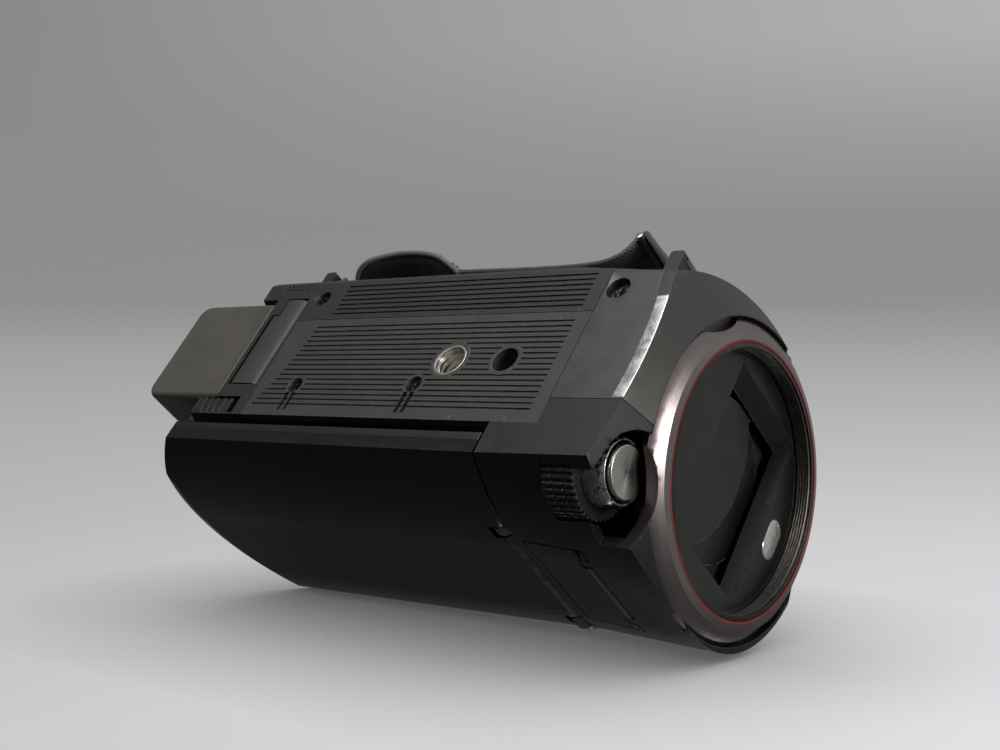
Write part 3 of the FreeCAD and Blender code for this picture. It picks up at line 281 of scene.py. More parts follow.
def threaded_sleeve(name, centre, along, radius, vee, pitch, length, finish, body="camera_body", around=72):
    """A thin sleeve inside a bore, with a helical vee thread standing inwards from radius."""
    rise = max(int(round(length / pitch * 8)), 8)
    mesh = bpy.data.meshes.new(name)
    bm = bmesh.new()
    grid = []
    for k in range(rise + 1):
        t = length * k / rise
        ring = []
        for i in range(around):
            a = 2 * math.pi * i / around
            turn = (t / pitch - i / around) % 1.0
            ends = min(1.0, t / (pitch * 0.5), (length - t) / (pitch * 0.5))
            crest = max(0.0, 1 - abs(turn - 0.5) * 2.6)
            r = radius - vee * min(crest, 0.86) / 0.86 * ends
            ring.append((a, r, t))
        grid.append(ring)
    grid.append([(a, radius + 0.04, length) for a, r, t in grid[0]])
    grid.append([(a, radius + 0.04, 0.0) for a, r, t in grid[0]])
    side = Vector((0, 0, 1)) if abs(along.y) > 0.5 else Vector((1, 0, 0))
    other = along.cross(side)
    made = [[bm.verts.new((centre + (side * math.cos(a) + other * math.sin(a)) * r + along * t) * MM)
             for a, r, t in ring] for ring in grid]
    for low, high in zip(made, made[1:] + made[:1]):
        for i in range(around):
            j = (i + 1) % around
            bm.faces.new((low[i], low[j], high[j], high[i]))
    bmesh.ops.recalc_face_normals(bm, faces=bm.faces)
    bm.to_mesh(mesh)
    bm.free()
    for face in mesh.polygons:
        face.use_smooth = True
    piece = bpy.data.objects.new(name, mesh)
    bpy.context.scene.collection.objects.link(piece)
    mesh.materials.append(finish)
    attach(piece, body)
    return piece


threaded_sleeve("tripod_thread", Vector((0, 0, 0.25)), Vector((0, 0, 1)), TRIPOD_R, TRIPOD_VEE, TRIPOD_PITCH,
                TRIPOD_DEPTH, turned_steel)

# Front bezel: a satin olive grey moulding that runs from the shells to the lens ring.
# Its facets are polished less than the shells, and its front corners are rubbed.
bezel_grey = moulded("bezel_olive", (0.020, 0.020, 0.0168), 0.33, 0.16, 0.006, dust=0.25, edge_wear_and_highlight=0.30,
                     hairs=0.16, gloss=0.9)
dress("front_bezel", bezel_grey, 0.22, 14)

# Chrome strip: a thin bright plated trim let into the bezel ahead of the base.
# Handling has worn the plating cloudy in random spots, and its low x end is painted dark and non-metal as a
# painted dark reflection.
strip_chrome, tree, shader, where = begin("plating_wear_and_painted_reflection")
low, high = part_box("chrome_strip")
x = add(tree, "SeparateXYZ", {0: where}).outputs[0]
run = add(tree, "MapRange", {0: x, 1: low.x, 2: high.x}).outputs[0]
spots = vary(tree, where, 2.2, 5, 0.65)
# ends paints the low x end dark as a painted reflection; the spots are the worn patches.
ends = steps(tree, run, (0.0, 0.45), (0.24, 0.40), (0.30, 0.02), (0.45, -0.10), (0.80, -0.06), (1.0, 0.05))
wear_and_painted_reflection = calc(tree, "ADD", calc(tree, "MULTIPLY_ADD", spots, 0.35, 0.30), ends)
lost_plating_and_painted_reflection = steps(tree, wear_and_painted_reflection, (0.58, 0.0), (0.66, 1.0))
tree.links.new(blend_of(tree, lost_plating_and_painted_reflection, (0.80, 0.80, 0.78, 1), (0.034, 0.034, 0.030, 1)), shader.inputs["Base Color"])
tree.links.new(steps(tree, wear_and_painted_reflection, (0.40, 0.10), (0.66, 0.40)), shader.inputs["Roughness"])
tree.links.new(steps(tree, lost_plating_and_painted_reflection, (0.0, 1.0), (1.0, 0.0)), shader.inputs["Metallic"])
bumped(tree, shader, vary(tree, where, 1.6, 2), 0.006)
dress("chrome_strip", strip_chrome, 0.15)

# Front side cover: black satin moulding between the bezel and the screen, with the jack door
# on its two lugs and the steel pin. The sockets behind it are nickel plated shells.
side_black = moulded("side_black", (0.0050, 0.0052, 0.0051), 0.40, 0.20, 0.007, dust=0.3, edge_wear_and_highlight=0.25, hairs=0.10)
dress("front_side_cover jack_door", side_black, 0.15)
nickel = rolled_steel("nickel_shell", (0.60, 0.58, 0.54), 0.22)
dress("microphone_sockets side_sockets", nickel, 0.06)

# Screen: a hinged panel with a gloss black lid, a satin inner bezel and a hard coated glass.
# The lid is lacquered, so it mirrors softly and shows fine wiping marks.
# Its two ears turn on a steel pin in the hinge block.
lid, tree, shader, where = begin("lid_lacquer")
cloud = vary(tree, where, 18.0, 3)
tree.links.new(steps(tree, cloud, (0.3, (0.0052, 0.0066, 0.0064)), (0.7, (0.0078, 0.0098, 0.0094))),
               shader.inputs["Base Color"])
wipes = vary(tree, stretched(tree, where, 4.0, 1.0, 7.0), 10.0, 5, 0.7)
tree.links.new(steps(tree, wipes, (0.35, 0.20), (0.70, 0.33)), shader.inputs["Roughness"])
shader.inputs["Specular IOR Level"].default_value = 0.5
shader.inputs["Coat Weight"].default_value = 0.35
shader.inputs["Coat Roughness"].default_value = 0.12
bumped(tree, shader, vary(tree, where, 0.7, 3, 0.6), 0.0012)
dress("screen_cover", lid, 0.3)
dress("screen_bezel", moulded("screen_surround", (0.013, 0.013, 0.014), 0.34, 0.2, 0.005, dust=0.2), 0.15)
dress("screen_hinge_block", inner_black, 0.15)

panel_glass, tree, shader, where = begin("screen_glass_coat")
smear = vary(tree, where, 9.0, 5, 0.65)
tree.links.new(steps(tree, smear, (0.3, (0.006, 0.007, 0.009)), (0.7, (0.010, 0.011, 0.014))),
               shader.inputs["Base Color"])
tree.links.new(steps(tree, smear, (0.4, 0.04), (0.75, 0.14)), shader.inputs["Roughness"])
shader.inputs["Coat Weight"].default_value = 1.0
shader.inputs["Coat Roughness"].default_value = 0.03
dress("screen_glass", panel_glass, 0.08)

# Lens ring: turned aluminium, brushed round and anodised mauve, pressed on the bezel.
# A red painted line and a black threaded filter ring sit inside it.
LENS = Vector((-1.0, 0.0, 36.0))
FILTER_R, FILTER_BACK, FILTER_PITCH, FILTER_VEE = 24.46, -44.42, 0.56, 0.30


def from_axis(tree, where, centre, across=("X", "Z")):
    """Distance from an axis along Y and the angle round it, in metres and radians."""
    split = add(tree, "SeparateXYZ", {0: where})
    dx = calc(tree, "SUBTRACT", split.outputs[0], centre.x * MM)
    dz = calc(tree, "SUBTRACT", split.outputs[2], centre.z * MM)
    far = calc(tree, "SQRT", calc(tree, "ADD", calc(tree, "MULTIPLY", dx, dx), calc(tree, "MULTIPLY", dz, dz)))
    return far, calc(tree, "ARCTAN2", dz, dx), split.outputs[1]


def turned_metal(name, colour, rough, centre, line=0.12, relief=0.003, streak=0.35, satin=0.6, rubbed=0.0,
                 wear_and_highlight_colour=(0.7, 0.68, 0.66)):
    """Metal brushed on a lathe: fine rings about an axis along Y, with a soft satin cone of light."""
    made, tree, shader, where = begin(name)
    far, angle, depth = from_axis(tree, where, centre)
    lathe = calc(tree, "ADD", far, calc(tree, "MULTIPLY", depth, 0.83))
    ringlet = add(tree, "TexNoise", {"W": lathe, "Scale": 1 / (line * MM), "Detail": 3.0}, noise_dimensions="1D")
    broken = vary(tree, stretched(tree, where, 1, 1, 1), 3.5, 4)
    tone = calc(tree, "MULTIPLY_ADD", ringlet.outputs[0], streak, calc(tree, "MULTIPLY", broken, 1 - streak))
    paint = steps(tree, tone, (0.3, [c * 0.80 for c in colour]), (0.7, [min(c * 1.15, 1) for c in colour]))
    if rubbed:
        edge = calc(tree, "MULTIPLY", wear_and_highlight_edge_mask(tree, 0.3, where, 0.9), rubbed)
        paint = blend_of(tree, edge, paint, (*wear_and_highlight_colour, 1))
    tree.links.new(paint, shader.inputs["Base Color"])
    tree.links.new(steps(tree, tone, (0.3, rough - 0.04), (0.7, rough + 0.06)), shader.inputs["Roughness"])
    shader.inputs["Metallic"].default_value = 1.0
    shader.inputs["Anisotropic"].default_value = satin
    tangent = add(tree, "Tangent", direction_type="RADIAL", axis="Y").outputs[0]
    tree.links.new(tangent, shader.inputs["Tangent"])
    bumped(tree, shader, ringlet.outputs[0], relief)
    return made


ring_anodised = turned_metal("ring_anodised", (0.27, 0.232, 0.232), 0.27, LENS, streak=0.85, rubbed=0.12)
dress("lens_ring", ring_anodised, 0.12, 14)

red, tree, shader, where = begin("red_line_paint")
tree.links.new(steps(tree, vary(tree, where, 1.5, 4), (0.3, (0.17, 0.006, 0.008)), (0.7, (0.26, 0.010, 0.012))),
               shader.inputs["Base Color"])
tree.links.new(steps(tree, vary(tree, where, 0.8), (0.3, 0.25), (0.7, 0.38)), shader.inputs["Roughness"])
bumped(tree, shader, vary(tree, where, 0.3), 0.004)
dress("red_line", red, 0.05)

black_anodised = turned_metal("black_anodised", (0.075, 0.070, 0.066), 0.34, LENS, 0.10, 0.002, rubbed=0.5,
                              wear_and_highlight_colour=(0.30, 0.28, 0.26))
dress("filter_ring", black_anodised, 0.08)
threaded_sleeve("filter_thread_ridges", Vector((LENS.x, FILTER_BACK, LENS.z)), Vector((0, -1, 0)), FILTER_R,
                FILTER_VEE, FILTER_PITCH, 2.9, black_anodised, around=160)

# Panel inside the ring: two black mouldings above and below the window, with facets.
# The lamp is a small clear cap over a bright reflector.
window_panel = moulded("window_panel", (0.0075, 0.0075, 0.0075), 0.38, 0.18, 0.005, dust=0.35, edge_wear_and_highlight=0.5,
                       wear_and_highlight_colour=(0.12, 0.12, 0.115))
dress("lens_front_panel", window_panel, 0.12)
lamp, tree, shader, where = begin("lamp_cap")
flute = vary(tree, where, 0.5, 2)
tree.links.new(steps(tree, flute, (0.3, (0.50, 0.50, 0.49)), (0.7, (0.80, 0.80, 0.78))),
               shader.inputs["Base Color"])
tree.links.new(steps(tree, flute, (0.3, 0.12), (0.7, 0.24)), shader.inputs["Roughness"])
shader.inputs["Metallic"].default_value = 0.75
shader.inputs["Coat Weight"].default_value = 1.0
shader.inputs["Coat Roughness"].default_value = 0.05
bumped(tree, shader, flute, 0.01)
dress("lamp_lens", lamp, 0.12)

# Lens cover blades: thin black sprung leaves that swing apart when the power is on.
# Their stamped curved edges are painted pale all round: partly burnished wear, partly a painted highlight where
# they catch the light.
leaf_black = moulded("leaf_black", (0.0065, 0.0065, 0.0066), 0.32, 0.5, 0.004, dust=0.3, edge_wear_and_highlight=1.0,
                     wear_and_highlight_colour=(0.45, 0.45, 0.43))
dress("lens_cover_upper_blade lens_cover_lower_blade", leaf_black, 0.08)

# Function dial: a knurled black wheel round a plated collar, with a spun button in its middle.
# The collar's plating has chipped to dark plastic; the button's face is spun aluminium.
DIAL = Vector((17.0, 0.0, 9.4))
dress("function_dial", moulded("dial_black", (0.016, 0.016, 0.016), 0.34, 0.3, 0.006, dust=0.2, edge_wear_and_highlight=0.6), 0.08)

collar, tree, shader, where = begin("chipped_plating")
chips = vary(tree, where, 1.5, 5, 0.7)
chips = calc(tree, "ADD", chips, calc(tree, "MULTIPLY", wear_and_highlight_edge_mask(tree, 0.5, where, 2.0), 0.2))
gone = steps(tree, chips, (0.56, 0.0), (0.60, 1.0))
tree.links.new(blend_of(tree, gone, (0.70, 0.69, 0.67, 1), (0.03, 0.028, 0.026, 1)), shader.inputs["Base Color"])
tree.links.new(steps(tree, chips, (0.40, 0.08), (0.60, 0.42)), shader.inputs["Roughness"])
tree.links.new(steps(tree, gone, (0.0, 1.0), (1.0, 0.0)), shader.inputs["Metallic"])
bumped(tree, shader, gone, -0.02)
dress("dial_collar", collar, 0.2)
spun_button = turned_metal("spun_button", (0.50, 0.50, 0.47), 0.24, DIAL, 0.06, 0.002, satin=0.85)
dress("function_button", spun_button, 0.18)

# Card door in the base, a thin flap on a steel pin, and the speaker behind its slots.
dress("card_door", moulded("door_charcoal", (0.036, 0.0362, 0.033), 0.44, 0.20, 0.008, dust=0.6, edge_wear_and_highlight=0.5,
                           hairs=0.12), 0.1)
mesh_cloth, tree, shader, where = begin("speaker_mesh")
holes = add(tree, "TexVoronoi", {"Vector": where, "Scale": 2200.0, "Randomness": 0.0}).outputs[0]
tree.links.new(steps(tree, holes, (0.25, (0.004, 0.004, 0.004)), (0.45, (0.05, 0.05, 0.05))),
               shader.inputs["Base Color"])
tree.links.new(steps(tree, holes, (0.25, 0.7), (0.45, 0.35)), shader.inputs["Roughness"])
bumped(tree, shader, holes, 0.05)
dress("speaker", mesh_cloth, 0.08)

# Battery: a warm grey brown case that slides up onto its rails, welded round its middle.
# Brass contacts stand in the bay, and a ribbed catch holds the battery.
battery_case = moulded("battery_case", (0.088, 0.082, 0.070), 0.40, 0.16, 0.008, dust=0.3, edge_wear_and_highlight=0.25, hairs=0.10,
                       wear_and_highlight_colour=(0.25, 0.24, 0.22))
dress("battery", battery_case, 0.5)
dress("battery_contacts", rolled_steel("contact_brass", (0.72, 0.55, 0.28), 0.22), 0.06)
dress("battery_latch", moulded("latch_black", (0.020, 0.020, 0.019), 0.36, 0.2, 0.006, dust=0.4, edge_wear_and_highlight=0.8), 0.1)

# Side buttons in the screen recess: pressed from behind, with a slight polish from fingers.
button_black = moulded("button_black", (0.018, 0.018, 0.019), 0.36, 0.24, 0.006, dust=0.2, edge_wear_and_highlight=0.3)
dress("power_button mode_button zoom_lever photo_button record_button", button_black, 0.2)

# Top cover, microphone grille and rear cover, the last mouldings to go on.
dress("top_cover rear_cover", shell_black, 0.18)
dress("microphone_grille", moulded("grille_black", (0.015, 0.015, 0.015), 0.42, 0.24, 0.008), 0.08)
dress("supply_socket", moulded("socket_black", (0.010, 0.010, 0.010), 0.40, 0.4, 0.006), 0.08)

# Hand strap: a soft stitched pad on a woven band, which loops through an eye at each end.
# The pad is synthetic leather over foam, edge bound with a paler piping and sewn through.
dress("strap_anchors", moulded("anchor_black", (0.018, 0.018, 0.018), 0.40, 0.2, 0.008, edge_wear_and_highlight=0.5), 0.2)
GRIP_X, PAD_Y0, PAD_Y1, PAD_Z0, PAD_Z1, PAD_T = -33.0, 26.0, 60.0, 9.5, 41.5, 3.2
PAD_END, PAD_PEAK, PEAK_Y = GRIP_X - 0.8 - PAD_T / 2, GRIP_X - 5.4 - PAD_T / 2, 43.0


def arc_through(a, b, c):
    """Centre and radius of the circle through three (x, y) points."""
    (ax, ay), (bx, by), (cx, cy) = a, b, c
    d = 2 * (ax * (by - cy) + bx * (cy - ay) + cx * (ay - by))
    ux = ((ax * ax + ay * ay) * (by - cy) + (bx * bx + by * by) * (cy - ay) + (cx * cx + cy * cy) * (ay - by)) / d
    uy = ((ax * ax + ay * ay) * (cx - bx) + (bx * bx + by * by) * (ax - cx) + (cx * cx + cy * cy) * (bx - ax)) / d
    return ux, uy, math.hypot(ax - ux, ay - uy)


PAD_CX, PAD_CY, PAD_R = arc_through((PAD_END, PAD_Y0), (PAD_PEAK, PEAK_Y), (PAD_END, PAD_Y1))


def on_pad(y, z, out):
    """A point of the pad at y and z, out millimetres outside its middle surface."""
    a = math.asin(max(-1.0, min(1.0, (y - PAD_CY) / PAD_R)))
    return Vector((PAD_CX - (PAD_R + out) * math.cos(a), PAD_CY + (PAD_R + out) * math.sin(a), z)) * MM


def pad_outline(s, inset=0.0, corner=7.0):
    """(y, z) round the pad's edge, s from 0 to 1, with rounded corners."""
    y0, y1, z0, z1 = PAD_Y0 + 0.5 + inset, PAD_Y1 - 0.5 - inset, PAD_Z0 + 0.4 + inset, PAD_Z1 - 0.4 - inset
    r = max(corner - inset, 1.0)
    spans = [(y1 - y0 - 2 * r), math.pi / 2 * r, (z1 - z0 - 2 * r), math.pi / 2 * r] * 2
    s = (s % 1.0) * sum(spans)
    corners = [(y0 + r, z0), (y1 - r, z0), (y1, z0 + r), (y1, z1 - r), (y1 - r, z1), (y0 + r, z1), (y0, z1 - r),
               (y0, z0 + r)]
    centres = [None, (y1 - r, z0 + r), None, (y1 - r, z1 - r), None, (y0 + r, z1 - r), None, (y0 + r, z0 + r)]
    start = [0, -90, 0, 0, 0, 90, 0, 180]
    for k, span in enumerate(spans):
        if s <= span or k == 7:
            if centres[k] is None:
                (ya, za), (yb, zb) = corners[k], corners[(k + 1) % 8]
                return ya + (yb - ya) * s / span, za + (zb - za) * s / span
            a = math.radians(start[k]) + s / r
            return centres[k][0] + r * math.cos(a), centres[k][1] + r * math.sin(a)
        s -= span


def new_piece(name, mesh, finish, body="camera_body"):
    mesh.materials.append(finish)
    for face in mesh.polygons:
        face.use_smooth = True
    piece = bpy.data.objects.new(name, mesh)
    bpy.context.scene.collection.objects.link(piece)
    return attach(piece, body)


def pad_mesh(name, half, rings=9, around=150):
    """Closed pillow: rings from the outline to the middle, outside and inside faces."""
    bm = bmesh.new()
    sheets = []
    for side in (1, -1):
        sheet = []
        for k in range(rings + 1):
            inset = 13.5 * (k / rings) ** 1.25
            crown = half * math.sqrt(1 - (1 - min(1.0, inset / 5.0)) ** 2) * 0.9 + 0.12
            edge = [pad_outline(i / around, inset) for i in range(around)]
            sheet.append([bm.verts.new(on_pad(*place, side * crown)) for place in edge])
        sheets.append(sheet)
    for sheet in sheets:
        for low, high in zip(sheet, sheet[1:]):
            for i in range(around):
                bm.faces.new((low[i], low[(i + 1) % around], high[(i + 1) % around], high[i]))
        bmesh.ops.contextual_create(bm, geom=[e for e in bm.edges if e.is_boundary and
                                              all(v in sheet[-1] for v in e.verts)])
    for i in range(around):
        j = (i + 1) % around
        bm.faces.new((sheets[0][0][i], sheets[0][0][j], sheets[1][0][j], sheets[1][0][i]))
    bmesh.ops.triangulate(bm, faces=[f for f in bm.faces if len(f.verts) > 4])
    bmesh.ops.recalc_face_normals(bm, faces=bm.faces)
    mesh = bpy.data.meshes.new(name)
    bm.to_mesh(mesh)
    bm.free()
    return mesh


hide, tree, shader, where = begin("pad_hide")
pebble = add(tree, "TexVoronoi", {"Vector": where, "Scale": 1500.0}, feature="SMOOTH_F1").outputs[0]
crease = vary(tree, where, 4.0, 5, 0.65)
tree.links.new(steps(tree, crease, (0.3, (0.005, 0.005, 0.005)), (0.7, (0.010, 0.010, 0.0095))),
               shader.inputs["Base Color"])
tree.links.new(steps(tree, pebble, (0.1, 0.42), (0.6, 0.62)), shader.inputs["Roughness"])
shader.inputs["Sheen Weight"].default_value = 0.15
bumped(tree, shader, calc(tree, "MULTIPLY_ADD", crease, 0.8, pebble), 0.035)

pad = new_piece("strap_pad_soft", pad_mesh("strap_pad_soft", 1.55), hide)

cloth_span = 20.0


def swell(piece, voxel, pressure, cap, pinned):
    """Fills a pad like a cushion: even mesh, cloth under pressure, movement capped."""
    bpy.context.view_layer.objects.active = piece
    work = piece.data
    work.transform(Matrix.Scale(cloth_span, 4))
    grid = piece.modifiers.new("even_mesh", "REMESH")
    grid.mode = "VOXEL"
    grid.voxel_size = voxel * MM * cloth_span
    bpy.context.view_layer.update()
    graph = bpy.context.evaluated_depsgraph_get()
    even = bpy.data.meshes.new_from_object(piece.evaluated_get(graph))
    piece.modifiers.clear()
    piece.data = even
    held = piece.vertex_groups.new(name="held")
    before = [v.co.copy() for v in even.vertices]
    for v in even.vertices:
        held.add([v.index], pinned(v.co / cloth_span / MM), "REPLACE")
    cloth = piece.modifiers.new("cloth", "CLOTH")
    cloth.settings.use_pressure = True
    cloth.settings.uniform_pressure_force = pressure
    cloth.settings.effector_weights.gravity = 0
    cloth.settings.vertex_group_mass = "held"
    cloth.settings.quality = 6
    cloth.point_cache.frame_start, cloth.point_cache.frame_end = 1, 20
    scene = bpy.context.scene
    for k in range(1, 21):
        scene.frame_set(k)
    graph = bpy.context.evaluated_depsgraph_get()
    filled = bpy.data.meshes.new_from_object(piece.evaluated_get(graph))
    piece.modifiers.clear()
    for v, rest in zip(filled.vertices, before):
        step = v.co - rest
        reach = cap * MM * cloth_span
        if step.length > reach:
            v.co = rest + step.normalized() * reach
    filled.transform(Matrix.Scale(1 / cloth_span, 4))
    for face in filled.polygons:
        face.use_smooth = True
    piece.data = filled
    scene.frame_set(1)


SEAM_INSET = 3.4


def seam_hold(p):
    """1 on the pad's edge and its sewn line, less between them."""
    inset = min(p.y - PAD_Y0, PAD_Y1 - p.y, p.z - PAD_Z0, PAD_Z1 - p.z)
    return 1.0 if inset < 0.9 or abs(inset - SEAM_INSET) < 0.45 else 0.0


swell(pad, 0.9, 6.0, 0.38, seam_hold)
smooth = pad.modifiers.new("smooth", "SUBSURF")
smooth.levels = smooth.render_levels = 1
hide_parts("strap_pad")

# Piping: a paler folded tape sewn all round the pad's edge, with its thread showing.
binding, tree, shader, where = begin("edge_binding")
twill = add(tree, "TexWave", {"Vector": where, "Scale": 900.0, "Distortion": 1.0}, bands_direction="DIAGONAL")
twill = twill.outputs[1]
tree.links.new(steps(tree, twill, (0.3, (0.07, 0.07, 0.065)), (0.7, (0.20, 0.20, 0.18))),
               shader.inputs["Base Color"])
tree.links.new(steps(tree, twill, (0.3, 0.55), (0.7, 0.75)), shader.inputs["Roughness"])
shader.inputs["Sheen Weight"].default_value = 0.25
bumped(tree, shader, twill, 0.05)


def bead(name, points, radius, finish, sides=10, closed=True):
    """A round bead that follows a line of points."""
    bm = bmesh.new()
    n = len(points)
    rings = []
    for k, p in enumerate(points):
        before = points[(k - 1) % n] if closed else points[max(k - 1, 0)]
        after = points[(k + 1) % n] if closed else points[min(k + 1, n - 1)]
        run = (after - before).normalized()
        side = run.cross(Vector((-1, 0, 0))).normalized()
        up = side.cross(run)
        rings.append([bm.verts.new(p + (side * math.cos(a) + up * math.sin(a)) * radius * MM)
                      for a in (2 * math.pi * i / sides for i in range(sides))])
    pairs = list(zip(rings, rings[1:])) + ([(rings[-1], rings[0])] if closed else [])
    for low, high in pairs:
        for i in range(sides):
            bm.faces.new((low[i], low[(i + 1) % sides], high[(i + 1) % sides], high[i]))
    if not closed:
        bm.faces.new(rings[0][::-1])
        bm.faces.new(rings[-1])
    bmesh.ops.recalc_face_normals(bm, faces=bm.faces)
    mesh = bpy.data.meshes.new(name)
    bm.to_mesh(mesh)
    bm.free()
    return new_piece(name, mesh, finish)


PIPING_POINTS, PIPING_R = 260, 0.62
pad_edge = [on_pad(*pad_outline(k / PIPING_POINTS), 0.0) for k in range(PIPING_POINTS)]
bead("strap_piping", pad_edge, PIPING_R, binding)

thread, tree, shader, where = begin("sewing_thread")
ply = add(tree, "TexWave", {"Vector": where, "Scale": 2500.0}, bands_direction="DIAGONAL").outputs[1]
tree.links.new(steps(tree, ply, (0.3, (0.03, 0.03, 0.03)), (0.7, (0.08, 0.08, 0.078))),
               shader.inputs["Base Color"])
tree.links.new(steps(tree, ply, (0.3, 0.5), (0.7, 0.7)), shader.inputs["Roughness"])
bumped(tree, shader, ply, 0.02)
STITCHES, STITCH_SHARE, STITCH_STEPS = 84, 0.7, (0.0, 0.12, 0.25, 0.35, 0.45, 0.58, 0.7)
PAD_FACE, STITCH_RISE = 1.50, 0.22
mesh = bpy.data.meshes.new("strap_stitches")
bm = bmesh.new()
for k in range(STITCHES):
    line = []
    for f in STITCH_STEPS:
        lift = PAD_FACE + STITCH_RISE * math.sin(math.pi * f / STITCH_SHARE)
        line.append(on_pad(*pad_outline((k + f) / STITCHES, SEAM_INSET), lift))
    rings = []
    for i, p in enumerate(line):
        run = (line[min(i + 1, 6)] - line[max(i - 1, 0)]).normalized()
        across = run.cross(Vector((-1, 0, 0))).normalized()
        up = across.cross(run)
        thick = 0.17 * math.sin(math.pi * (0.12 + 0.76 * i / 6))
        rings.append([bm.verts.new(p + (across * math.cos(a) + up * math.sin(a)) * thick * MM)
                      for a in (2 * math.pi * j / 6 for j in range(6))])
    for low, high in zip(rings, rings[1:]):
        for j in range(6):
            bm.faces.new((low[j], low[(j + 1) % 6], high[(j + 1) % 6], high[j]))
    bm.faces.new(rings[0][::-1])
    bm.faces.new(rings[-1])
bmesh.ops.recalc_face_normals(bm, faces=bm.faces)
bm.to_mesh(mesh)
bm.free()
new_piece("strap_stitches", mesh, thread)

# Webbing: a flat woven nylon band, stiff where it folds over the steel bar ahead of the pad.
WEB_Z0, WEB_Z1, WEB_T = PAD_Z0 + 2.0, PAD_Z1 - 10.0, 1.1
WEB_X = GRIP_X - 0.9
FOLD = (GRIP_X - 10.0, -20.0)
ANCHOR_FRONT, ANCHOR_REAR = -31.5, 63.6

weave, tree, shader, _ = begin("woven_nylon")
flat = add(tree, "UVMap").outputs[0]
split = add(tree, "SeparateXYZ", {0: flat})
warp = calc(tree, "SINE", calc(tree, "MULTIPLY", split.outputs[1], 2 * math.pi / 0.0011))
weft = calc(tree, "SINE", calc(tree, "MULTIPLY", split.outputs[0], 2 * math.pi / 0.0008))
over = calc(tree, "MULTIPLY", warp, weft)
height = calc(tree, "MULTIPLY_ADD", over, 0.5, 0.5)
fray = vary(tree, flat, 3.0, 4)
tree.links.new(steps(tree, height, (0.1, (0.010, 0.010, 0.010)), (0.9, (0.045, 0.045, 0.044))),
               shader.inputs["Base Color"])
tree.links.new(steps(tree, fray, (0.3, 0.45), (0.7, 0.62)), shader.inputs["Roughness"])
shader.inputs["Sheen Weight"].default_value = 0.3
bumped(tree, shader, height, 0.12)


def smooth_path(points, count):
    """Evenly spaced points on a smooth line through points."""
    dense = []
    for k in range(len(points) - 1):
        p = [Vector(points[min(max(k + d, 0), len(points) - 1)]) for d in (-1, 0, 1, 2)]
        for i in range(24):
            t = i / 24
            dense.append(0.5 * (2 * p[1] + (p[2] - p[0]) * t + (2 * p[0] - 5 * p[1] + 4 * p[2] - p[3]) * t * t
                                + (3 * p[1] - p[0] - 3 * p[2] + p[3]) * t ** 3))
    dense.append(Vector(points[-1]))
    far = [0.0]
    for a, b in zip(dense, dense[1:]):
        far.append(far[-1] + (b - a).length)
    out = []
    for k in range(count + 1):
        want = far[-1] * k / count
        i = min(max(next(j for j, f in enumerate(far) if f >= want - 1e-9), 1), len(far) - 1)
        t = (want - far[i - 1]) / max(far[i] - far[i - 1], 1e-9)
        out.append((dense[i - 1].lerp(dense[i], t), want))
    return out


def band(name, points, z0, z1, thick, finish, count=60, ripple=0.10):
    """A woven band with rounded selvedges that follows (x, y) points."""
    bm = bmesh.new()
    uv = bm.loops.layers.uv.new("UVMap")
    wide = z1 - z0
    section = []
    for k in range(25):
        z = z0 + 0.3 + (wide - 0.6) * k / 24
        section.append((thick / 2, z))
    for a in (45, 0, -45):
        section.append((thick / 2 * math.sin(math.radians(a)) , z1 - 0.3 + 0.3 * math.cos(math.radians(a))))
    for k in range(25):
        section.append((-thick / 2, z1 - 0.3 - (wide - 0.6) * k / 24))
    for a in (-45, 0, 45):
        section.append((thick / 2 * math.sin(math.radians(a)), z0 + 0.3 - 0.3 * math.cos(math.radians(a))))
    path = smooth_path(points, count)
    rings = []
    for k, (p, s) in enumerate(path):
        run = (path[min(k + 1, count)][0] - path[max(k - 1, 0)][0]).normalized()
        out = Vector((-run.y, run.x))
        ring = []
        for t, z in section:
            wave = ripple * 0.5 * math.sin(s * 1.1 + z * 0.4) * 0.3
            place = Vector((*(p + out * (t + wave)), z)) * MM
            ring.append((bm.verts.new(place), (s * MM, z * MM)))
        rings.append(ring)
    n = len(section)
    for low, high in zip(rings, rings[1:]):
        for i in range(n):
            j = (i + 1) % n
            face = bm.faces.new((low[i][0], low[j][0], high[j][0], high[i][0]))
            for loop, place in zip(face.loops, (low[i][1], low[j][1], high[j][1], high[i][1])):
                loop[uv].uv = place
    for ring in (rings[0][::-1], rings[-1]):
        face = bm.faces.new([v for v, _ in ring])
        for loop, (_, place) in zip(face.loops, ring):
            loop[uv].uv = place
    bmesh.ops.recalc_face_normals(bm, faces=bm.faces)
    mesh = bpy.data.meshes.new(name)
    bm.to_mesh(mesh)
    bm.free()
    return new_piece(name, mesh, finish)


front_path = [(WEB_X, ANCHOR_FRONT - 1.8), (WEB_X, ANCHOR_FRONT), (WEB_X, ANCHOR_FRONT + 2.2),
              (FOLD[0] + 1.2, FOLD[1] - 0.9), FOLD, (FOLD[0] + 1.0, FOLD[1] + 1.0), (WEB_X - 1.2, -11.0),
              (PAD_END + 0.4, PAD_Y0 - 0.6)]
front_band = band("webbing_front", front_path, WEB_Z0, WEB_Z1, WEB_T, weave, 90)
rear_band = band("webbing_rear", [(PAD_END + 0.4, PAD_Y1 + 0.6), (WEB_X, ANCHOR_REAR - 2.6), (WEB_X, ANCHOR_REAR),
                                  (WEB_X, ANCHOR_REAR + 3.0)], WEB_Z0, WEB_Z1, WEB_T, weave, 30)
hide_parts("strap_webbing")

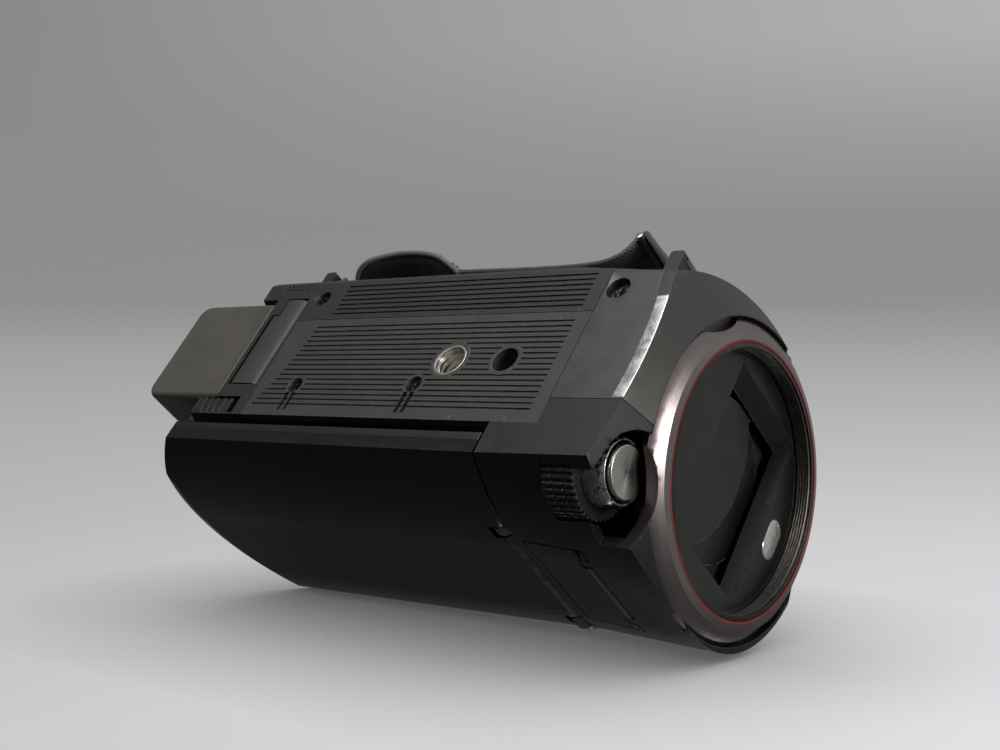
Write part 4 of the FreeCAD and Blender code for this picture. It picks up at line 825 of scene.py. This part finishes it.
# Studio: a floor under the way the camcorder lies, which shows only a painted soft shadow, and a pale one under
# the way it stands, which carries a painted shadow too. A grey sweep painted in the world stands behind, with
# painted light on it, and three softboxes light the object.
scene = bpy.context.scene
EYE = Vector((0.12995, -0.17986, -0.15336))
RIGHT = Vector((-0.40884, -0.76813, 0.49278))
AHEAD = Vector((-0.48826, 0.64030, 0.59298)).normalized()
RIGHT = (RIGHT - AHEAD * RIGHT.dot(AHEAD)).normalized()
UP = RIGHT.cross(AHEAD)
LENS_MM = 51.505
lying_up = Vector((-0.758, -0.0148, -0.652)).normalized()

camera = bpy.data.objects.new("view_camera", bpy.data.cameras.new("view_camera"))
scene.collection.objects.link(camera)
camera.data.sensor_width = 36.0
camera.data.lens = LENS_MM
camera.data.clip_start, camera.data.clip_end = 0.01, 20
camera.matrix_world = Matrix(((RIGHT.x, UP.x, -AHEAD.x, EYE.x), (RIGHT.y, UP.y, -AHEAD.y, EYE.y),
                              (RIGHT.z, UP.z, -AHEAD.z, EYE.z), (0, 0, 0, 1)))
scene.camera = camera

lowest = min(v.co.dot(lying_up) for piece in nodes.values() for v in piece.data.vertices)


def shadow_floor(name, at, up, size, reach, depth, opaque=None):
    """A floor seen from its upper side only, with a painted shadow: an emitted dark tone where ambient occlusion
    finds the object close over it.
    """
    mesh = bpy.data.meshes.new(name)
    side = up.orthogonal().normalized()
    other = up.cross(side)
    bm = bmesh.new()
    cells = 24
    grid = [[bm.verts.new(at + (side * (2 * i / cells - 1) + other * (2 * j / cells - 1)) * size)
             for i in range(cells + 1)] for j in range(cells + 1)]
    for j in range(cells):
        for i in range(cells):
            bm.faces.new((grid[j][i], grid[j][i + 1], grid[j + 1][i + 1], grid[j + 1][i]))
    bm.to_mesh(mesh)
    bm.free()
    floor = bpy.data.objects.new(name, mesh)
    scene.collection.objects.link(floor)
    made = bpy.data.materials.new(name)
    made.use_nodes = True
    tree = made.node_tree
    tree.nodes.clear()
    geometry = add(tree, "NewGeometry")
    rays = add(tree, "LightPath")
    # Painted shadow: the floor's emission is darkened where ambient occlusion finds the object within reach.
    open_sky = add(tree, "AmbientOcclusion", {"Distance": reach}, samples=12).outputs["AO"]
    shade = calc(tree, "MULTIPLY", calc(tree, "SUBTRACT", 1.0, open_sky), depth)
    clear = add(tree, "BsdfTransparent").outputs[0]
    if opaque:
        far = add(tree, "VectorMath", {0: geometry.outputs["Position"]}, operation="LENGTH").outputs["Value"]
        fade = add(tree, "MapRange", {0: far, 1: 0.30, 2: 1.1, 3: 1.0, 4: 0.0}, interpolation_type="SMOOTHSTEP")
        cloud = vary(tree, geometry.outputs["Position"], 180.0)
        paint = steps(tree, cloud, (0.3, [c * 0.97 for c in opaque]), (0.7, opaque))
        emission_with_painted_shadow = add(tree, "Emission", {"Color": blend_of(tree, shade, paint, (0.05, 0.05, 0.052, 1))}).outputs[0]
        share = fade.outputs[0]
        rays_seen = rays.outputs["Is Camera Ray"]
    else:
        emission_with_painted_shadow = add(tree, "Emission", {"Color": (0.03, 0.03, 0.032, 1)}).outputs[0]
        share = shade
        rays_seen = calc(tree, "SUBTRACT", 1.0, rays.outputs["Is Shadow Ray"])
    front = calc(tree, "SUBTRACT", 1.0, geometry.outputs["Backfacing"])
    share = calc(tree, "MULTIPLY", calc(tree, "MULTIPLY", share, front), rays_seen)
    mix = add(tree, "MixShader", {0: share, 1: clear, 2: emission_with_painted_shadow})
    out = add(tree, "OutputMaterial", {0: mix.outputs[0]})
    mesh.materials.append(made)
    floor.visible_shadow = False
    return floor


centre = (cad_low + cad_high) / 2
foot = centre + lying_up * (lowest - centre.dot(lying_up)) - lying_up * 0.0002
shadow_floor("lying_floor", foot, lying_up, 1.5, 0.055, 0.95)
shadow_floor("standing_floor", Vector((centre.x, centre.y, -0.0002)), Vector((0, 0, 1)), 3.0, 0.07, 0.9,
             opaque=(0.52, 0.52, 0.53))


def softbox(name, direction, far, size, power, colour=(1, 1, 1)):
    data = bpy.data.lights.new(name, "AREA")
    data.shape = "SQUARE"
    data.size = size
    data.energy = power
    data.color = colour
    lamp = bpy.data.objects.new(name, data)
    scene.collection.objects.link(lamp)
    direction = direction.normalized()
    lamp.location = centre + direction * far
    lamp.rotation_mode = "QUATERNION"
    lamp.rotation_quaternion = direction.to_track_quat("Z", "Y")
    lamp.visible_camera = False
    return lamp


level_right = (RIGHT - lying_up * RIGHT.dot(lying_up)).normalized()
level_ahead = level_right.cross(lying_up) * -1
window_side = level_right * 0.66 - level_ahead * 0.70 + lying_up * 0.27
softbox("window_softbox", window_side, 0.9, 0.26, 3.2, (1.0, 0.96, 0.90))
softbox("overhead_softbox", lying_up * 0.9 - level_ahead * 0.30 - level_right * 0.35, 1.0, 0.8, 7.0)
softbox("standing_softbox", Vector((0.35, 0.10, 0.93)), 0.9, 0.6, 3.0)

world = bpy.data.worlds.new("studio")
scene.world = world
world.use_nodes = True
tree = world.node_tree
tree.nodes.clear()
look = add(tree, "TexCoord").outputs["Generated"]
rise = add(tree, "VectorMath", {0: look, 1: lying_up}, operation="DOT_PRODUCT").outputs["Value"]
across = add(tree, "VectorMath", {0: look, 1: level_right}, operation="DOT_PRODUCT").outputs["Value"]
rise = calc(tree, "MULTIPLY_ADD", rise, 0.5, 0.5)
# Camera rays see a painted backdrop with painted light: paler below the horizon, darkest just above it, and
# lighter towards level_right, darker the other way.
wall = steps(tree, rise, (0.0, 0.72), (0.375, 0.68), (0.43, 0.58), (0.475, 0.44), (0.492, 0.38), (0.512, 0.275),
             (0.54, 0.27), (0.57, 0.30), (0.60, 0.345), (1.0, 0.44))
painted_side_light = steps(tree, rise, (0.44, 0.35), (0.50, 0.05), (0.54, 0.05), (0.60, 0.85))
wall = calc(tree, "MULTIPLY", wall, calc(tree, "MULTIPLY_ADD", across, painted_side_light, 1.0))
grey = add(tree, "CombineColor", {0: wall, 1: wall, 2: calc(tree, "MULTIPLY", wall, 1.02)}).outputs[0]
seen = add(tree, "Background", {"Color": grey})
glow = steps(tree, rise, (0.0, 0.10), (0.30, 0.13), (0.45, 0.24), (0.58, 0.25), (0.75, 0.28), (1.0, 0.36))
glow = calc(tree, "MULTIPLY", glow, calc(tree, "MAXIMUM", calc(tree, "MULTIPLY_ADD", across, 0.9, 1.0), 0.12))
light = add(tree, "Background", {"Color": glow, "Strength": 0.8})
rays = add(tree, "LightPath").outputs["Is Camera Ray"]
mix = add(tree, "MixShader", {0: rays, 1: light.outputs[0], 2: seen.outputs[0]})
add(tree, "OutputWorld", {0: mix.outputs[0]})
scene.view_settings.view_transform = "Standard"
